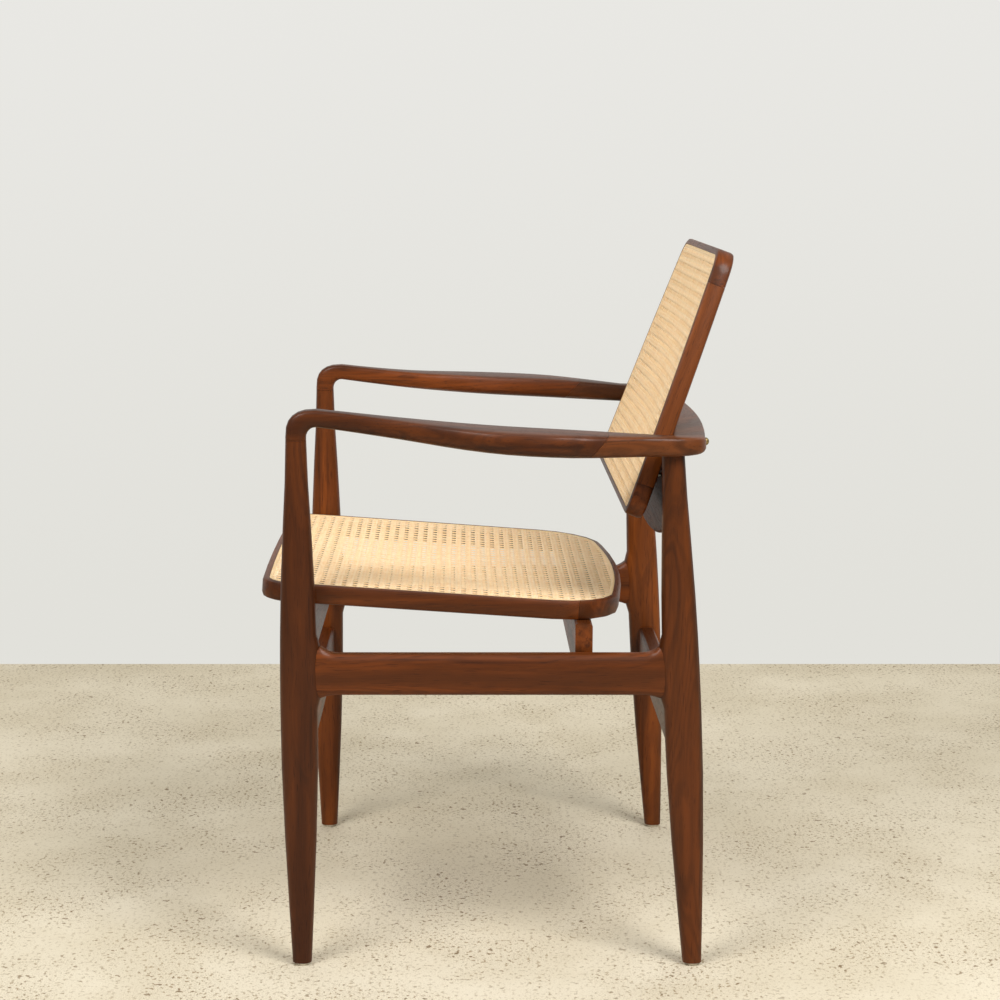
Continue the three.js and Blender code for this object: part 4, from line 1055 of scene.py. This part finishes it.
# %% Finishes of the CAD parts
seat_cross_parts = ("front_seat_bearer", "rear_seat_bearer", "seat_front_rail", "seat_rear_rail")
other_cross_parts = ("front_cross_rail", "rear_cross_rail", "back_bottom_rail", "back_top_rail")
cuts = (
    # The left legs, the left arm and the apron carry painted shade, and the right legs carry painted light.
    (front_leg_wood_shaded, ("front_leg_left",)),
    (rear_leg_wood_shaded, ("rear_leg_left",)),
    (right_leg_wood_lit, ("front_leg_right", "rear_leg_right")),
    (left_arm_wood_shaded, ("arm_left",)),
    (stretcher_wood, ("side_stretcher_left", "side_stretcher_right")),
    (apron_wood_shaded, ("back_apron",)),
    (lengthwise_wood, ("arm_right", "seat_rail_left", "seat_rail_right")),
    (crosswise_wood, seat_cross_parts + other_cross_parts),
    (bent_wood, ("back_rail",)),
    (left_stile_wood, ("back_stile_left",)),
    (right_stile_wood, ("back_stile_right",)),
)
finishes = {name: finish for finish, names in cuts for name in names}
# Brass comes after steel, because the brass screws are screws too.
for word, finish in (("glide", nylon), ("screw", steel), ("brass", brass)):
    finishes.update({name: finish for name in nodes if word in name})
for name, finish in finishes.items():
    nodes[name].data.materials.clear()
    nodes[name].data.materials.append(finish)
print(len(finishes), "CAD parts finished")

# %% The new pieces take their places
new_pieces = (
    (seat_cane_pairs, cane_finish, "cane", "seat_cane"),
    (seat_cane_diagonals, cane_finish, "cane", "seat_cane"),
    (back_cane_pairs, cane_finish, "cane", "back_cane"),
    (back_cane_diagonals, cane_finish, "cane", "back_cane"),
    (seat_spline, reed_finish, "spline", "seat_spline"),
    (back_spline, reed_finish, "spline", "back_spline"),
)
for piece, finish, slot, replaced in new_pieces:
    piece.data.materials.append(finish)
    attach(piece, "root")
    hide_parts(replaced)
print(len(new_pieces), "new pieces")

# %% [markdown]
# ## Floor and wall
#
# A pale speckled floor meets a plain off-white wall. Both are stage, not part of the chair. A lit wall would
# never be an even tone, so this one shows the camera a set colour however the lamps fall on it, and that
# colour is a little darker low down as painted shade. It shows only from its front, so that a look from
# behind the chair isn't blocked.

# %% The room
WALL_X = -1.214
ROOM = 7.0


def flat_stage(name, corners):
    """One four-cornered face."""
    piece = make_piece(name, np.array(corners, float), np.array([[0, 1, 2, 3]]))
    return piece


floor = flat_stage("floor", [(-ROOM, -ROOM, 0), (ROOM, -ROOM, 0), (ROOM, ROOM, 0), (-ROOM, ROOM, 0)])
wall_foot = [(WALL_X, -ROOM, 0), (WALL_X, ROOM, 0)]
wall_head = [(WALL_X, ROOM, ROOM), (WALL_X, -ROOM, ROOM)]
wall = flat_stage("wall", wall_foot + wall_head)
print("wall at", WALL_X)

# %% The floor's finish
GROUND_TINTS = (208, 199, 178), (218, 210, 191)
GRAIN_TINT = (164, 148, 122)
SPECK_TINT = (140, 120, 90)
CHIP_TINT = (112, 90, 60)


def floor_material():
    """Pale ground with cloudy patches, and brown specks that crowd together in some places."""
    material, tree, shader = new_material("pale_floor")
    place = tree.nodes.new("ShaderNodeTexCoord").outputs["Object"]

    def blotches(scale, detail, roughness, low, high, least=0.0):
        """Noise of one scale, cut to a mask that starts at least."""
        cloudy = noise(tree, place, (1, 1, 1), scale, detail, roughness)
        return remap(tree, cloudy, low, high, to_low=least)

    clouds = blotches(scale=4, detail=5, roughness=0.6, low=0.35, high=0.65)
    crowded = blotches(scale=7, detail=4, roughness=0.6, low=0.35, high=0.65, least=0.3)
    chips = blotches(scale=95, detail=2, roughness=0.5, low=0.64, high=0.69)
    specks = blotches(scale=190, detail=2, roughness=0.6, low=0.56, high=0.63)
    grains = blotches(scale=560, detail=2, roughness=0.6, low=0.46, high=0.6)
    layers = (
        (product(tree, grains, crowded), 0.5, colour(*GRAIN_TINT)),
        (product(tree, specks, crowded), 0.8, colour(*SPECK_TINT)),
        (product(tree, chips, crowded), 0.85, colour(*CHIP_TINT)),
    )
    ground = blend_colour(tree, clouds, *(colour(*tint) for tint in GROUND_TINTS))
    link(tree, (tinted(tree, ground, layers), shader.inputs["Base Color"]))
    shader.inputs["Specular IOR Level"].default_value = 0.2
    shader.inputs["Roughness"].default_value = 0.6
    return material


floor.data.materials.append(floor_material())
print("floor", 2 * ROOM, "metres across")

# %% The wall's finish
# The wall's set colour fades to this low down, as painted shade.
WALL_LOW_TINT = (226, 225, 219)
PALE_TINT = (233, 232, 228)
# Above this height the wall is at its palest.
WALL_PALE_HEIGHT = 1.4


def wall_material():
    """Off-white, a little darker low down as painted shade. The camera and reflections see that set colour
    itself, other light sees a dull surface, and from behind it is clear."""
    material, tree, shader = new_material("pale_wall")
    shader.inputs["Base Color"].default_value = colour(*WALL_LOW_TINT)
    shader.inputs["Roughness"].default_value = 0.9
    add = tree.nodes.new
    place, apart, paint = add("ShaderNodeTexCoord"), add("ShaderNodeSeparateXYZ"), add("ShaderNodeEmission")
    ray, side = add("ShaderNodeLightPath"), add("ShaderNodeNewGeometry")
    clear = add("ShaderNodeBsdfTransparent")
    shown, either = add("ShaderNodeMixShader"), add("ShaderNodeMixShader")
    # Painted shade: the set colour darkens towards the floor.
    height = remap(tree, apart.outputs["Z"], 0, WALL_PALE_HEIGHT)
    seen = maths(tree, "MAXIMUM", ray.outputs["Is Camera Ray"], ray.outputs["Is Glossy Ray"])
    link(
        tree,
        (place.outputs["Object"], apart.inputs["Vector"]),
        (blend_colour(tree, height, colour(*WALL_LOW_TINT), colour(*PALE_TINT)), paint.inputs["Color"]),
        (seen, shown.inputs["Fac"]),
        (shader.outputs["BSDF"], shown.inputs[1]),
        (paint.outputs["Emission"], shown.inputs[2]),
        (side.outputs["Backfacing"], either.inputs["Fac"]),
        (shown.outputs["Shader"], either.inputs[1]),
        (clear.outputs["BSDF"], either.inputs[2]),
        (either.outputs["Shader"], tree.nodes["Material Output"].inputs["Surface"]),
    )
    return material


wall.data.materials.append(wall_material())
print("wall palest above", WALL_PALE_HEIGHT)

# %% [markdown]
# ## Light
#
# Brown wood shows its colour best in broad, even light. A single strong lamp would leave hard shadows, so
# two large square lamps hang on the camera's side, one to each end of the chair, and a pale world fills in.
# The camera sees that world at full strength, and the chair gets less of it, so that a pale background
# doesn't wash the chair out.

# %% The world
WORLD_FILL = 0.44

world = bpy.data.worlds.new("studio")
bpy.context.scene.world = world
world.use_nodes = True
world_nodes = world.node_tree.nodes
fill = world_nodes["Background"]
fill.inputs["Color"].default_value = colour(*PALE_TINT)
fill.inputs["Strength"].default_value = WORLD_FILL
backdrop = world_nodes.new("ShaderNodeBackground")
backdrop.inputs["Color"].default_value = colour(*PALE_TINT)
either = world_nodes.new("ShaderNodeMixShader")
link(
    world.node_tree,
    (world_nodes.new("ShaderNodeLightPath").outputs["Is Camera Ray"], either.inputs["Fac"]),
    (fill.outputs["Background"], either.inputs[1]),
    (backdrop.outputs["Background"], either.inputs[2]),
    (either.outputs["Shader"], world_nodes["World Output"].inputs["Surface"]),
)
print(world.name, "fills with", WORLD_FILL)

# %% The lamps
LAMP_SIZE = 1.3
LAMP_TINT = (1, 0.98, 0.95)
LAMP_TARGET = Vector((0, 0, 0.4))


def soft_lamp(name, place, power):
    """A square area lamp at a place, turned towards the target."""
    lamp = bpy.data.lights.new(name, "AREA")
    lamp.shape = "SQUARE"
    lamp.size = LAMP_SIZE
    lamp.energy = power
    lamp.color = LAMP_TINT
    holder = bpy.data.objects.new(name, lamp)
    bpy.context.scene.collection.objects.link(holder)
    holder.location = place
    holder.rotation_euler = (LAMP_TARGET - Vector(place)).to_track_quat("-Z", "Y").to_euler()


soft_lamp("front_left_lamp", place=(1.8, -1.5, 2.5), power=64)
soft_lamp("front_right_lamp", place=(1.8, 1.5, 2.5), power=84)

# %% [markdown]
# ## The camera
#
# The photograph was taken square to the chair's left side, from 2.6 metres away and 0.94 metres up, looking
# down by nine degrees. The lens could be guessed by eye, but the camera was worked out from where the
# chair's feet, stretchers and arms fall in the picture. The picture's centre lies a little nearer the
# chair's back than the camera's axis does, which a small shift gives.

# %% The camera
CAMERA_PLACE = (2.6057, -0.0419 + CENTRING_Y, 0.936)
CAMERA_DOWN = math.radians(9.303)
# Lens and sensor are in millimetres, and the shift is a share of the picture's width.
CAMERA_LENS = 75.6
SENSOR_WIDTH = 36
SHIFT_SHARE = 0.0385

camera = bpy.data.cameras.new("photograph")
camera.lens = CAMERA_LENS
camera.sensor_width = SENSOR_WIDTH
camera.shift_x = SHIFT_SHARE
viewer = bpy.data.objects.new("photograph", camera)
bpy.context.scene.collection.objects.link(viewer)
viewer.location = CAMERA_PLACE
viewer.rotation_euler = (QUARTER - CAMERA_DOWN, 0, QUARTER)
bpy.context.scene.camera = viewer
bpy.context.scene.view_settings.view_transform = "Standard"
print("camera at", tuple(viewer.location))
